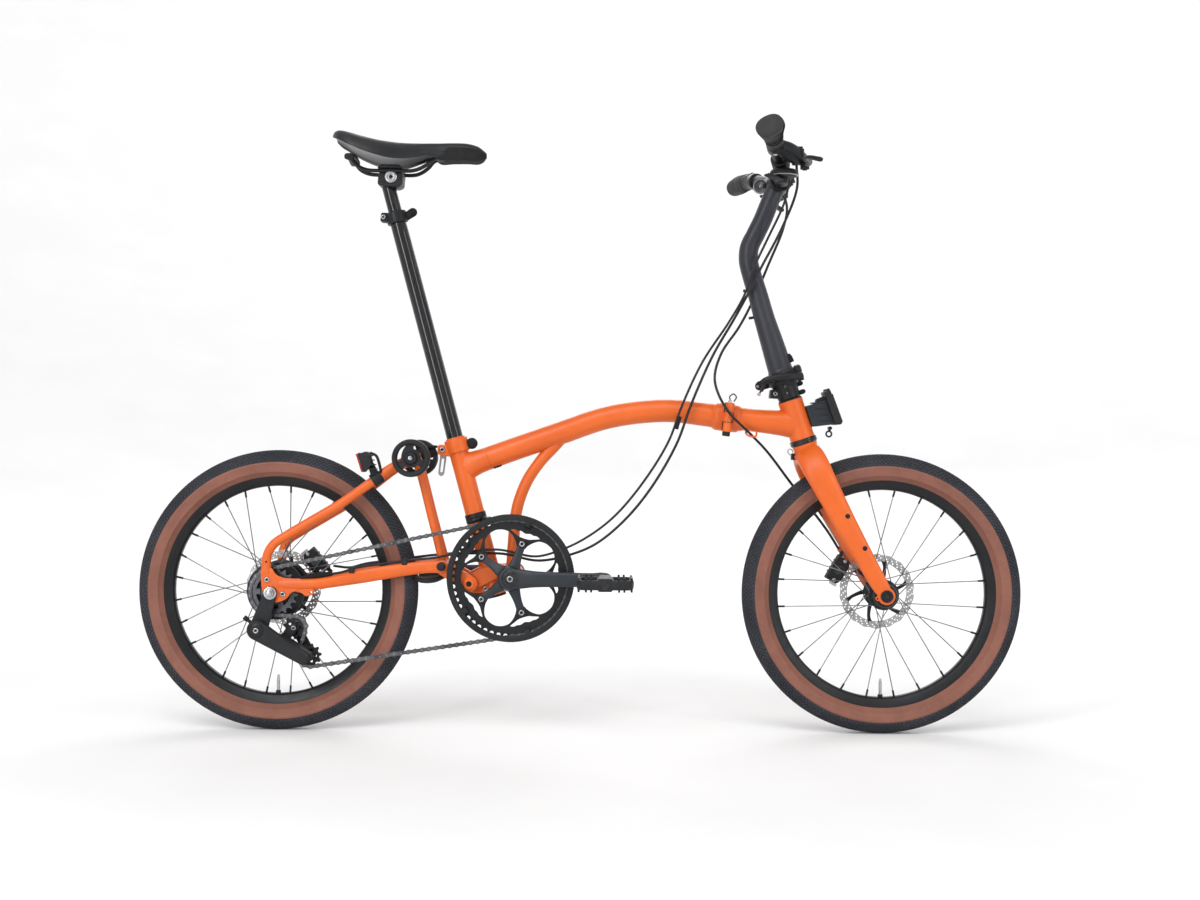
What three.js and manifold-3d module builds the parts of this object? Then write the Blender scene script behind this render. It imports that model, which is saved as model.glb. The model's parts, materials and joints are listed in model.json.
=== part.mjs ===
// Folding bicycle with 20 inch wheels: hinged main frame, rear frame that folds under,
// folding stem, telescopic seat post, hub gear with a chain tensioner, and disc brakes.
// Millimetres. +X is forward, +Y is the rider's left, +Z is up. The origin is on the
// ground, half way between the two axles, in the bicycle's middle plane.

import * as THREE from 'three';
import { mergeVertices } from 'three/addons/utils/BufferGeometryUtils.js';
import Module from 'manifold-3d';

const wasm = await Module();
wasm.setup();

// ---- driving dimensions -------------------------------------------------------------

const WHEELBASE = 1106;
const TYRE_RADIUS = 256;
const TYRE_WIDTH = 54;
const RIM_RADIUS = 209;
const RIM_DEPTH = 19;
const RIM_WIDTH = 30;
const WHEEL_SIDES = 28;
const ROTOR_RADIUS = 70;
const ROTOR_Y = 41;
const FRONT_SPOKES = 24;
const REAR_SPOKES = 28;
const SPOKE_RADIUS = 1.3;
const SPOKE_LEAN = 0.7;

const BB_X = -124.5;
const BB_Z = 284;
const BB_WIDTH = 68;
const CRANK_LENGTH = 170;
const CHAIN_Y = -48;
const CHAINRING_PITCH = 105;
const SPROCKET_PITCH = 42;
const JOCKEY_PITCH = 20.5;
const CHAIN_HALF_HEIGHT = 4.2;
const CHAIN_WIDTH = 8;
const BOLT_CIRCLE = 65;

const SEAT_ANGLE = THREE.MathUtils.degToRad(15.2);
const SEAT_AXIS_X = -163;
const SEAT_TUBE_RADIUS = 17.6;
const SEAT_BORE_RADIUS = 15.4;
const POST_RADIUS = 15;
const INNER_POST_RADIUS = 12.7;

const STEER_ANGLE = THREE.MathUtils.degToRad(18.5);
const STEER_X = 395.9;
const STEER_Z = 573.4;
const STEERER_RADIUS = 14.3;
const STEERER_CLEARANCE = 0.8;

const PIVOT_X = -201;
const PIVOT_Z = 271.5;
const HINGE_X = 267;
const HINGE_Y = -37;
const HINGE_Z = 577;
const HINGE_LEAN = THREE.MathUtils.degToRad(7);
const GAP = 0.35;
const TUBE_SIDES = 14;

const HANDLEBAR_X = 362;
const HANDLEBAR_Z = 1012;

const REAR_X = -WHEELBASE / 2;
const FRONT_X = WHEELBASE / 2;
const AXLE_Z = TYRE_RADIUS;

// ---- materials ----------------------------------------------------------------------

const finish = (color, roughness, metalness) => () =>
  new THREE.MeshStandardMaterial({ color, roughness, metalness });
const orangePaint = finish(0xe0662a, 0.45, 0.1);
const charcoalPaint = finish(0x3a3d47, 0.4, 0.3);
const glossBlack = finish(0x17181b, 0.22, 0.2);
const satinBlack = finish(0x1e1f22, 0.5, 0.3);
const blackPlastic = finish(0x232427, 0.6, 0);
const blackRubber = finish(0x1c1c1d, 0.85, 0);
const tanRubber = finish(0x8a5546, 0.8, 0);
const polishedSteel = finish(0xb9bbbf, 0.25, 1);
const chainSteel = finish(0x85868a, 0.4, 1);
const saddleCover = finish(0x1d1e21, 0.55, 0);

// ---- helpers ------------------------------------------------------------------------

const UP = new THREE.Vector3(0, 1, 0);

// A point from its side-view place (x, z) and its distance y from the middle plane.
const at = (x, z, y = 0) => new THREE.Vector3(x, y, z);

function toSolid(geometry) {
  const bare = geometry.clone();
  bare.deleteAttribute('normal');
  bare.deleteAttribute('uv');
  const merged = mergeVertices(bare, 1e-4);
  const source = merged.index.array;
  const triangles = [];
  for (let i = 0; i < source.length; i += 3) {
    const [a, b, c] = [source[i], source[i + 1], source[i + 2]];
    if (a !== b && b !== c && a !== c) triangles.push(a, b, c);
  }
  const mesh = new wasm.Mesh({
    numProp: 3,
    vertProperties: merged.attributes.position.array,
    triVerts: new Uint32Array(triangles),
  });
  return new wasm.Manifold(mesh);
}

function toGeometry(solid) {
  const mesh = solid.getMesh();
  const geometry = new THREE.BufferGeometry();
  const positions = new Float32Array(mesh.vertProperties);
  geometry.setAttribute('position', new THREE.BufferAttribute(positions, 3));
  geometry.setIndex(new THREE.BufferAttribute(new Uint32Array(mesh.triVerts), 1));
  geometry.computeVertexNormals();
  return geometry;
}

const join = (...parts) => toGeometry(parts.map(toSolid).reduce((sum, next) => sum.add(next)));

const cut = (body, ...tools) =>
  toGeometry(tools.map(toSolid).reduce((rest, tool) => rest.subtract(tool), toSolid(body)));

// A round bar from point a to point b, tapering from radius ra to radius rb.
function rod(a, b, ra, rb = ra, sides = 10) {
  const along = b.clone().sub(a);
  const geometry = new THREE.CylinderGeometry(rb, ra, along.length(), sides);
  geometry.applyQuaternion(new THREE.Quaternion().setFromUnitVectors(UP, along.normalize()));
  const middle = a.clone().add(b).multiplyScalar(0.5);
  return geometry.translate(middle.x, middle.y, middle.z);
}

// A round bar across the bicycle, from y0 to y1.
const crossRod = (x, z, y0, y1, radius, sides = 10) =>
  rod(at(x, z, y0), at(x, z, y1), radius, radius, sides);

// A tube along a smooth curve. Each radius is one number, or [sideways, in-plane].
function sweep(points, radii, { sides = 8, steps = 1, across = new THREE.Vector3(0, 1, 0) } = {}) {
  const curve = new THREE.CatmullRomCurve3(points, false, 'centripetal');
  const spans = points.length - 1;
  const geometry = new THREE.CylinderGeometry(1, 1, 1, sides, spans * steps);
  const position = geometry.attributes.position;
  const size = (value, index) => (Array.isArray(value) ? value[index] : value);
  for (let i = 0; i < position.count; i += 1) {
    const u = THREE.MathUtils.clamp(position.getY(i) + 0.5, 0, 1);
    const span = Math.min(Math.floor(u * spans), spans - 1);
    const part = u * spans - span;
    const next = Array.isArray(radii) ? radii[span + 1] : radii;
    const last = Array.isArray(radii) ? radii[span] : radii;
    const tangent = curve.getTangent(u);
    const side = across.clone().addScaledVector(tangent, -across.dot(tangent)).normalize();
    const rise = new THREE.Vector3().crossVectors(side, tangent);
    const point = curve.getPoint(u);
    const sideways = THREE.MathUtils.lerp(size(last, 0), size(next, 0), part);
    const inPlane = THREE.MathUtils.lerp(size(last, 1), size(next, 1), part);
    point.addScaledVector(side, position.getX(i) * sideways);
    point.addScaledVector(rise, position.getZ(i) * inPlane);
    position.setXYZ(i, point.x, point.y, point.z);
  }
  return geometry;
}

// A flat plate whose outline lies in the side view, from y0 to y1.
function plate(shape, y0, y1, curveSegments = 4) {
  const geometry = new THREE.ExtrudeGeometry(shape, {
    depth: y1 - y0,
    bevelEnabled: false,
    curveSegments,
  });
  geometry.rotateX(Math.PI / 2);
  return geometry.translate(0, y1, 0);
}

const outline = (...corners) => new THREE.Shape(corners.map(([x, z]) => new THREE.Vector2(x, z)));

// The outline of two round bosses and the straight web between them.
function link([ax, az, ar], [bx, bz, br]) {
  const heading = Math.atan2(bz - az, bx - ax);
  const spread = Math.acos((ar - br) / Math.hypot(bx - ax, bz - az));
  const shape = new THREE.Shape();
  shape.absarc(ax, az, ar, heading + spread, heading - spread + 2 * Math.PI, false);
  shape.absarc(bx, bz, br, heading - spread, heading + spread, false);
  shape.closePath();
  return shape;
}

// A box between two opposite corners.
function block(x0, x1, y0, y1, z0, z1) {
  const geometry = new THREE.BoxGeometry(x1 - x0, y1 - y0, z1 - z0);
  return geometry.translate((x0 + x1) / 2, (y0 + y1) / 2, (z0 + z1) / 2);
}

// A ring or disc turned about the y axis from a closed profile of [radius, y] corners.
function turned(profile, sides = 14) {
  const corners = profile.map(([radius, y]) => new THREE.Vector2(radius, y));
  corners.push(corners[0].clone());
  return new THREE.LatheGeometry(corners, sides);
}

function part(name, geometry, material) {
  const mesh = new THREE.Mesh(geometry, material());
  mesh.name = name;
  return mesh;
}

function group(position, ...members) {
  const node = new THREE.Group();
  node.position.copy(position);
  node.add(...members);
  return node;
}

// Points on the seat tube's axis and on the steering axis, by height.
const seatAt = (z, y = 0) => at(SEAT_AXIS_X - (z - BB_Z) * Math.tan(SEAT_ANGLE), z, y);
const steerAt = (z, y = 0) => at(STEER_X - (z - STEER_Z) * Math.tan(STEER_ANGLE), z, y);

// ---- main frame ---------------------------------------------------------------------

// The frame hinge's pin leans forward; its two halves meet in the pin's own plane.
const hingeDirection = at(Math.sin(HINGE_LEAN), Math.cos(HINGE_LEAN));
const hingeAt = (rise, x = 0, y = 0) => {
  const point = at(HINGE_X, HINGE_Z, HINGE_Y).addScaledVector(hingeDirection, rise);
  point.addScaledVector(at(Math.cos(HINGE_LEAN), -Math.sin(HINGE_LEAN)), x);
  return point.add(at(0, 0, y));
};

// A block in the hinge's leaning frame, given by its reach from the pin.
function hingeBlock(x0, x1, y0, y1, rise0, rise1) {
  const geometry = block(x0, x1, y0, y1, rise0, rise1);
  geometry.rotateY(HINGE_LEAN);
  return geometry.translate(HINGE_X, HINGE_Y, HINGE_Z);
}

const HINGE_BODY_Y0 = 10;
const HINGE_BODY_Y1 = 62;
const HINGE_HALF_HEIGHT = 27;
const KNUCKLE_RADIUS = 8.5;
const KNUCKLE_RISE = 9;
const PIN_RADIUS = 3.5;

// One hinge half: a block beside the mating plane and its knuckles on the pin.
function hingeHalf(sign, knuckles) {
  const near = sign * GAP;
  const far = sign * 28;
  const [x0, x1] = sign < 0 ? [far, near] : [near, far];
  const [webX0, webX1] = sign < 0 ? [-7, -GAP] : [GAP, 7];
  const body = hingeBlock(x0, x1, HINGE_BODY_Y0, HINGE_BODY_Y1, -HINGE_HALF_HEIGHT, HINGE_HALF_HEIGHT);
  const pieces = knuckles.flatMap(([rise0, rise1]) => [
    rod(hingeAt(rise0), hingeAt(rise1), KNUCKLE_RADIUS, KNUCKLE_RADIUS, 10),
    hingeBlock(webX0, webX1, 0, HINGE_BODY_Y0 + 1, rise0, rise1),
  ]);
  const bore = rod(hingeAt(-40), hingeAt(40), PIN_RADIUS + GAP, PIN_RADIUS + GAP, 10);
  return cut(join(body, ...pieces), bore);
}

function mainFrame() {
  const seatTube = rod(seatAt(246), seatAt(537), SEAT_TUBE_RADIUS, SEAT_TUBE_RADIUS, TUBE_SIDES);
  const shell = crossRod(BB_X, BB_Z, -BB_WIDTH / 2, BB_WIDTH / 2, 20.5, TUBE_SIDES);
  const lug = plate(
    outline([-212, 258], [-150, 255], [-126, 264], [-118, 284], [-126, 303], [-160, 303], [-208, 286]),
    -15,
    15,
  );
  const pivotBarrel = crossRod(PIVOT_X, PIVOT_Z, -24, 24, 14);
  const mainTube = sweep(
    [at(-208, 485), at(-132, 513), at(-40, 546), at(52, 578), at(155, 589), at(243, 581)],
    [20, 21, 20.8, 20.6, 20.6, 22],
    { sides: 10, steps: 2 },
  );
  const strut = sweep(
    [at(-40, 527), at(-74.4, 494.5), at(-96.6, 461.7), at(-111.3, 427), at(-118.6, 397), at(-125, 296)],
    [10.5, 10.5, 10.5, 10.5, 10.5, 10.5],
  );
  const body = join(seatTube, shell, lug, pivotBarrel, mainTube, strut);
  const hollows = cut(
    body,
    rod(seatAt(200), seatAt(600), SEAT_BORE_RADIUS, SEAT_BORE_RADIUS, TUBE_SIDES),
    crossRod(BB_X, BB_Z, -50, 50, 17, TUBE_SIDES),
    crossRod(PIVOT_X, PIVOT_Z, -30, 30, 6.4),
  );
  const knuckles = [[-KNUCKLE_RISE, KNUCKLE_RISE]];
  return part('main_frame', join(hollows, hingeHalf(-1, knuckles), hingeLeverBracket()), orangePaint);
}

function hingePin() {
  const pin = rod(hingeAt(-30), hingeAt(31), PIN_RADIUS, PIN_RADIUS, 10);
  const head = rod(hingeAt(-33), hingeAt(-HINGE_HALF_HEIGHT - 0.6), 7, 7, 12);
  return part('frame_hinge_pin', join(pin, head), satinBlack);
}

// The over-centre lever that locks the frame hinge, on the left side of the tube.
function hingeLever() {
  const y = HINGE_BODY_Y1;
  const boss = rod(hingeAt(-15, -14, y + 11), hingeAt(15, -14, y + 11), 7.5, 7.5, 14);
  const arm = hingeBlock(-16, 68, y + 9, y + 15, -10, 10);
  const tip = rod(hingeAt(-10, 68, y + 12), hingeAt(10, 68, y + 12), 5, 5, 12);
  const hole = rod(hingeAt(-20, -14, y + 11), hingeAt(20, -14, y + 11), 3.4, 3.4, 12);
  return part('frame_hinge_lever', cut(join(boss, arm, tip), hole), satinBlack);
}

function hingeLeverBracket() {
  const y = HINGE_BODY_Y1;
  const base = hingeBlock(-26, -6, y - 1, y + 2.4, -20, 20);
  const ears = [-1, 1].map((s) => {
    const [low, high] = s < 0 ? [-19.5, -15.6] : [15.6, 19.5];
    return hingeBlock(-20, -8, y + 2, y + 16, low, high);
  });
  const pin = rod(hingeAt(-17, -14, y + 11), hingeAt(17, -14, y + 11), 3, 3, 12);
  return join(base, ...ears, pin);
}

function seatClamp() {
  const band = rod(seatAt(510), seatAt(534), 20.5, 20.5, TUBE_SIDES);
  const lugs = [-1, 1].map((s) => {
    const [y0, y1] = s < 0 ? [-12, -2] : [2, 12];
    return block(-262, -238, y0, y1, 505, 524);
  });
  const bore = rod(seatAt(480), seatAt(560), SEAT_TUBE_RADIUS + GAP, SEAT_TUBE_RADIUS + GAP, TUBE_SIDES);
  const slot = block(-262, -238, -1.5, 1.5, 500, 545);
  const body = cut(join(band, ...lugs), bore, slot);
  const bolt = crossRod(-253.6, 514.5, -17, 15, 4.5, 12);
  return part('seat_clamp', join(body, bolt), orangePaint);
}

function seatClampLever() {
  const boss = rod(at(-259.5, 514.5, 22), at(-247.7, 514.5, 22), 6.4);
  const arm = sweep(
    [at(-253.6, 514, 22), at(-257, 492, 25), at(-260, 466, 28)],
    [[3.5, 6.5], [3, 6], [3, 5]],
    { sides: 10 },
  );
  return part('seat_clamp_lever', join(boss, arm), polishedSteel);
}

function bottomBracket() {
  const half = BB_WIDTH / 2 + 4;
  const profile = [[12.9, -half], [18.5, -half], [18.5, -BB_WIDTH / 2 - GAP], [16.6, -BB_WIDTH / 2 - GAP]];
  const mirrored = profile.map(([r, y]) => [r, -y]).reverse();
  const cups = turned([...profile, ...mirrored]);
  return part('bottom_bracket', cups, satinBlack);
}

// ---- front frame --------------------------------------------------------------------

function frontFrame() {
  const knuckles = [[-26, -KNUCKLE_RISE - 0.6], [KNUCKLE_RISE + 0.6, 26]];
  const tube = sweep(
    [hingeAt(-2, 20, -HINGE_Y), at(318, 572.5), at(362, 568), at(394, 572)],
    [22, 22, 22, 20],
    { sides: 10, steps: 2 },
  );
  const headTube = rod(steerAt(537.5), steerAt(609), 22.5, 22.5, TUBE_SIDES);
  const bore = rod(steerAt(500), steerAt(640), 18, 18, TUBE_SIDES);
  const body = cut(join(tube, headTube), bore);
  return part('front_frame', join(body, hingeHalf(1, knuckles)), orangePaint);
}

function headsetLower() {
  const boreRadius = STEERER_RADIUS + STEERER_CLEARANCE;
  const cup = rod(steerAt(531), steerAt(537.1), 25, 25, TUBE_SIDES);
  const bore = rod(steerAt(510), steerAt(560), boreRadius, boreRadius, TUBE_SIDES);
  return part('headset_lower', cut(cup, bore), satinBlack);
}

// The luggage carrier's mounting block on the front of the head tube.
function carrierBlock() {
  const neck = plate(outline([417, 585], [432, 582], [438, 596], [423, 602]), -11, 11);
  const body = plate(outline([411, 599], [423, 561], [464, 566], [450, 611]), -14, 14);
  const face = plate(outline([443, 625], [454, 629], [476, 568.5], [463, 565]), -25, 25);
  const wedge = rod(steerAt(540), steerAt(612), 22.5 + GAP, 22.5 + GAP, TUBE_SIDES);
  return part('carrier_block', cut(join(neck, body, face), wedge), blackPlastic);
}

function carrierLatch() {
  const stem = crossRod(457, 559, -9, 9, 3.2, 12);
  const blade = plate(link([457, 559, 4.6], [455.4, 546, 3.4]), -6, 6);
  return part('carrier_latch', join(stem, blade), blackPlastic);
}

// ---- fork and stem base -------------------------------------------------------------

function forkLeg(side) {
  return sweep(
    [
      at(414, 512, side * 8),
      at(419, 506, side * 36),
      at(431, 476, side * 50),
      at(465, 411, side * 53),
      at(505, 339.5, side * 54),
      at(547, 267, side * 55),
    ],
    [[14, 25], [13, 25], [11, 23.5], [8.5, 20], [7.5, 17], [3.6, 14]],
  );
}

function fork() {
  const steerer = rod(steerAt(518), steerAt(640), STEERER_RADIUS, STEERER_RADIUS, TUBE_SIDES);
  const ends = [-1, 1].map((side) => {
    const [y0, y1] = side < 0 ? [-59, -50.5] : [50.5, 59];
    return crossRod(FRONT_X, AXLE_Z, y0, y1, 15.5, 20);
  });
  const caliperLug = plate(outline([490, 345], [530, 290], [522, 282], [482, 330]), 52.6, 57);
  const body = join(steerer, forkLeg(-1), forkLeg(1), ...ends, caliperLug);
  return part('fork', cut(body, crossRod(FRONT_X, AXLE_Z, -70, 70, 6.6)), orangePaint);
}

function frontAxle() {
  const shaft = crossRod(FRONT_X, AXLE_Z, -61, 61, 6.1);
  const head = crossRod(FRONT_X, AXLE_Z, -63, -59.4, 11);
  const nut = crossRod(FRONT_X, AXLE_Z, 59.4, 63, 11);
  return part('front_axle', join(shaft, head, nut), satinBlack);
}

// A disc brake caliper: two pads' halves on either side of the rotor and a bridge.
function caliper(name, x, z, tilt) {
  const body = new THREE.BoxGeometry(30, 20, 52);
  const slot = new THREE.BoxGeometry(30, 5, 60).translate(8, 0, 0);
  const shaped = cut(body, slot);
  shaped.rotateY(tilt);
  return part(name, shaped.translate(x, ROTOR_Y, z), satinBlack);
}

// ---- stem hinge ---------------------------------------------------------------------

// The stem hinge lies in a plane square to the steering axis. Its pin runs diagonally, so
// the stem falls to the left: u is along the pin and n is from the steering axis to it.
const STEM_HINGE_Z = 650;
const STEM_PIN_OFFSET = 45;
const STEM_PLATE_REACH = 36;

function inStemHinge(geometry) {
  geometry.rotateZ(Math.PI / 4);
  geometry.rotateY(-STEER_ANGLE);
  const origin = steerAt(STEM_HINGE_Z);
  return geometry.translate(origin.x, origin.y, origin.z);
}

const stemBlock = (u0, u1, n0, n1, z0, z1) => inStemHinge(block(u0, u1, n0, n1, z0, z1));

const stemRod = (a, b, radius, sides = 10) =>
  inStemHinge(rod(new THREE.Vector3(...a), new THREE.Vector3(...b), radius, radius, sides));

function stemBase() {
  const sleeve = rod(steerAt(613.5), steerAt(645), 20, 23, TUBE_SIDES);
  const plateDisc = stemRod([0, 0, -13], [0, 0, -GAP], 29, TUBE_SIDES);
  const plateArm = stemBlock(-19, 19, 0, STEM_PLATE_REACH, -13, -GAP);
  const web = stemBlock(-8.5, 8.5, STEM_PLATE_REACH - 2, STEM_PIN_OFFSET, -8, -GAP);
  const knuckle = stemRod([-8.5, STEM_PIN_OFFSET, 0], [8.5, STEM_PIN_OFFSET, 0], 7.5);
  const pin = stemRod([-21, STEM_PIN_OFFSET, 0], [21, STEM_PIN_OFFSET, 0], 3, 12);
  const pinch = block(345, 366, -15, 15, 613, 629);
  const bore = rod(steerAt(560), steerAt(642), STEERER_RADIUS + GAP, STEERER_RADIUS + GAP, TUBE_SIDES);
  const body = cut(join(sleeve, plateDisc, plateArm, web, knuckle, pinch), bore);
  return part('stem_base', join(body, pin), satinBlack);
}

// The clamp lever of the stem hinge: its pivot is at the front right of the plates.
function stemHingeLever() {
  const pivot = stemRod([0, -38, -13], [0, -38, 13], 6);
  const arm = sweep(
    [at(394, 648, -30), at(384, 645, -39), at(358, 641, -42), at(330, 637, -34)],
    [[5, 7], [4, 7], [4, 7], [4, 6]],
    { sides: 10, across: at(0, 0, 1) },
  );
  return part('stem_hinge_lever', join(pivot, arm), satinBlack);
}

function stem() {
  const plateDisc = stemRod([0, 0, GAP], [0, 0, 12], 27, TUBE_SIDES);
  const plateArm = stemBlock(-19, 19, 0, STEM_PLATE_REACH, GAP, 11);
  const ends = [-1, 1].flatMap((s) => {
    const [u0, u1] = s < 0 ? [-19, -9.1] : [9.1, 19];
    return [
      stemBlock(u0, u1, STEM_PLATE_REACH - 2, STEM_PIN_OFFSET, GAP, 8),
      stemRod([u0, STEM_PIN_OFFSET, 0], [u1, STEM_PIN_OFFSET, 0], 7.5),
    ];
  });
  const bore = stemRod([-30, STEM_PIN_OFFSET, 0], [30, STEM_PIN_OFFSET, 0], 3 + GAP, 12);
  const tube = sweep(
    [
      steerAt(654),
      at(356.5, 692),
      at(336, 758),
      at(323.5, 802),
      at(307, 850),
      at(307, 884),
      at(326, 928),
      at(344, 974),
      at(357, 1006),
    ],
    [24, 22, 18.5, 18, 18, 18, 17.5, 17, 16.5],
    { sides: 10 },
  );
  const clamp = crossRod(HANDLEBAR_X, HANDLEBAR_Z, -24, 24, 22, 20);
  const barBore = crossRod(HANDLEBAR_X, HANDLEBAR_Z, -40, 40, 17.2, 20);
  const hinge = cut(join(plateDisc, plateArm, ...ends), bore);
  return part('stem', cut(join(hinge, tube, clamp), barBore), charcoalPaint);
}

// ---- handlebar and controls ---------------------------------------------------------

const BAR_ACROSS = new THREE.Vector3(0, 0, 1);
const barPoints = (side, extra = 0) => [
  at(HANDLEBAR_X, HANDLEBAR_Z, 0),
  at(HANDLEBAR_X, HANDLEBAR_Z, side * 45),
  at(355, 1021, side * 90),
  at(341, 1037, side * 140),
  at(325, 1049, side * 215),
  at(313, 1054, side * (286 + extra)),
];

const BAR_RADII = [15.9, 15.9, 13, 11.1, 11.1, 11.1];
const BAR_SHAPE = { sides: 10, steps: 2, across: BAR_ACROSS };

// One half of the bar, from the middle outwards, larger by extra all round.
const barHalf = (side, extra = 0) =>
  sweep(barPoints(side, extra), BAR_RADII.map((radius) => radius + extra), BAR_SHAPE);

function handlebar() {
  const points = [...barPoints(-1).reverse(), ...barPoints(1).slice(1)];
  const radii = [...BAR_RADII.slice().reverse(), ...BAR_RADII.slice(1)];
  return part('handlebar', sweep(points, radii, BAR_SHAPE), satinBlack);
}

function grip(name, side) {
  const sleeve = sweep(
    [
      at(329, 1046.5, side * 190),
      at(324, 1049.5, side * 220),
      at(318, 1052, side * 255),
      at(312, 1054.5, side * 291),
    ],
    [[15, 15], [15, 16], [16, 19], [15, 24]],
    { sides: 10, steps: 1, across: BAR_ACROSS },
  );
  return part(name, cut(sleeve, barHalf(side, GAP)), blackRubber);
}

function leverMount(name, side) {
  const ring = sweep(
    [at(336, 1040.5, side * 160), at(331.5, 1044, side * 182)],
    15.5,
    { sides: 10, steps: 1, across: BAR_ACROSS },
  );
  const body = sweep(
    [at(344, 1040, side * 170), at(362, 1033, side * 160), at(382, 1026, side * 142)],
    [[9, 9], [8, 10], [8, 9]],
    { sides: 8, across: BAR_ACROSS },
  );
  const ends = [side * 128, side * 162];
  const reservoir = block(358, 384, Math.min(...ends), Math.max(...ends), 1028, 1044);
  return part(name, cut(join(ring, body, reservoir), barHalf(side, GAP)), satinBlack);
}

const BRAKE_PIVOT = { x: 388, y: 146, z: 1013 };

function brakeLever(name, side) {
  const { x, y, z } = BRAKE_PIVOT;
  const boss = rod(at(x, z - 5, side * y), at(x, z + 2, side * y), 7.5, 7.5, 14);
  const blade = sweep(
    [
      at(x, z, side * y),
      at(389, 1012.5, side * 195),
      at(381, 1011.5, side * 225),
      at(397, 1002, side * 262),
    ],
    [[3.5, 7], [3.5, 6], [3.5, 5], [4, 6]],
    { sides: 8, across: BAR_ACROSS },
  );
  return part(name, join(boss, blade), satinBlack);
}

function shifter() {
  const ringEnds = [at(352, 1024, -100), at(347, 1030.5, -119)];
  const ring = sweep(ringEnds, 15.5, { sides: 10, steps: 1, across: BAR_ACROSS });
  const pod = rod(at(354, 996, -124), at(354, 1010, -124), 25, 22, 16);
  const neck = block(342, 360, -116, -104, 1008, 1022);
  return part('shifter', cut(join(ring, pod, neck), barHalf(-1, GAP)), blackPlastic);
}

function shiftLever() {
  const boss = rod(at(352, 988, -124), at(352, 995.6, -124), 9, 9, 14);
  const paddle = sweep(
    [at(352, 992, -124), at(338, 991, -146), at(322, 994, -162)],
    [[3, 6], [3, 8], [2.5, 9]],
    { sides: 8, across: BAR_ACROSS },
  );
  return part('shift_lever', join(boss, paddle), blackPlastic);
}

function bell() {
  const ring = crossRod(HANDLEBAR_X, HANDLEBAR_Z, 30, 38, 20, 16);
  const neck = block(330, 350, 31, 37, 1003, 1013);
  const dome = crossRod(330, 1008, 30, 52, 13.5, 20);
  const bore = crossRod(HANDLEBAR_X, HANDLEBAR_Z, 20, 60, 17, 20);
  return part('bell', cut(join(ring, neck, dome), bore), polishedSteel);
}

// ---- wheels -------------------------------------------------------------------------

function tyre(name) {
  const half = TYRE_WIDTH / 2;
  const rim = RIM_RADIUS + GAP;
  const outer = [
    [rim, -13],
    [rim + 10, -24],
    [rim + 24, -half],
    [TYRE_RADIUS - 8, -20],
    [TYRE_RADIUS, -6],
  ];
  const inner = [
    [rim, -9],
    [rim + 12, -20],
    [TYRE_RADIUS - 14, -12],
  ];
  const mirror = ([radius, y]) => [radius, -y];
  const profile = [
    ...outer,
    ...outer.slice().reverse().map(mirror),
    ...inner.map(mirror),
    ...inner.slice().reverse(),
  ];
  return part(name, turned(profile, WHEEL_SIDES), tanRubber);
}

function rim(name) {
  const half = RIM_WIDTH / 2;
  const inner = RIM_RADIUS - RIM_DEPTH;
  const profile = [
    [inner, -half + 5],
    [RIM_RADIUS, -half],
    [RIM_RADIUS, -half + 4],
    [RIM_RADIUS - 7, -8],
    [RIM_RADIUS - 7, 8],
    [RIM_RADIUS, half - 4],
    [RIM_RADIUS, half],
    [inner, half - 5],
  ];
  return part(name, turned(profile, WHEEL_SIDES), glossBlack);
}

// A hub shell with its spokes, which cross in pairs on each flange.
function hub(name, shell, flangeRadius, flangeY, spokeCount, material) {
  const spokes = [];
  for (let i = 0; i < spokeCount; i += 1) {
    const side = i % 2 === 0 ? -1 : 1;
    const rimAngle = (2 * Math.PI * (i + 0.5)) / spokeCount;
    const hubAngle = rimAngle + side * SPOKE_LEAN;
    const reach = (RIM_RADIUS - RIM_DEPTH) * Math.cos(Math.PI / WHEEL_SIDES) - 1;
    const inner = flangeRadius - 4;
    spokes.push(
      rod(
        at(inner * Math.cos(hubAngle), inner * Math.sin(hubAngle), side * flangeY),
        at(reach * Math.cos(rimAngle), reach * Math.sin(rimAngle), side * 4),
        SPOKE_RADIUS,
        SPOKE_RADIUS,
        3,
      ),
    );
  }
  return part(name, join(turned(shell), ...spokes), material);
}

function frontHub() {
  const bore = 6.6;
  const shell = [
    [bore, -49],
    [20, -49],
    [20, -40],
    [27, -30],
    [27, -25],
    [15, -20],
    [15, 20],
    [27, 25],
    [27, 30],
    [17, 38.7],
    [13.5, 38.7],
    [13.5, 49],
    [bore, 49],
  ];
  return hub('front_hub', shell, 27, 28, FRONT_SPOKES, satinBlack);
}

function rearHub() {
  const bore = 5.4;
  const shell = [
    [bore, -60],
    [13, -60],
    [13, -41],
    [34, -41],
    [51.5, -31],
    [51.5, -24],
    [46, -20],
    [46, 20],
    [51.5, 24],
    [51.5, 29],
    [17, 38.7],
    [13.5, 38.7],
    [13.5, 60],
    [bore, 60],
  ];
  return hub('rear_hub', shell, 51.5, 27.5, REAR_SPOKES, satinBlack);
}

// A brake rotor: a braking ring, six arms and a centre carrier.
function rotor(name) {
  const band = turned([[58, -0.9], [ROTOR_RADIUS, -0.9], [ROTOR_RADIUS, 0.9], [58, 0.9]], 24);
  const carrier = turned([[14, -2], [24, -2], [24, 2], [14, 2]]);
  const arms = [];
  for (let i = 0; i < 6; i += 1) {
    const angle = (i * Math.PI) / 3;
    arms.push(
      rod(
        at(22 * Math.cos(angle), 22 * Math.sin(angle)),
        at(60 * Math.cos(angle + 0.35), 60 * Math.sin(angle + 0.35)),
        0.85,
        0.85,
        4,
      ),
    );
  }
  return part(name, join(band, carrier, ...arms).translate(0, ROTOR_Y, 0), polishedSteel);
}

// ---- rear frame ---------------------------------------------------------------------

const ROLLER = { x: -304, z: 499, radius: 34, y0: 52, y1: 76 };
const STAY_FRONT_Y = 37;

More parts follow.
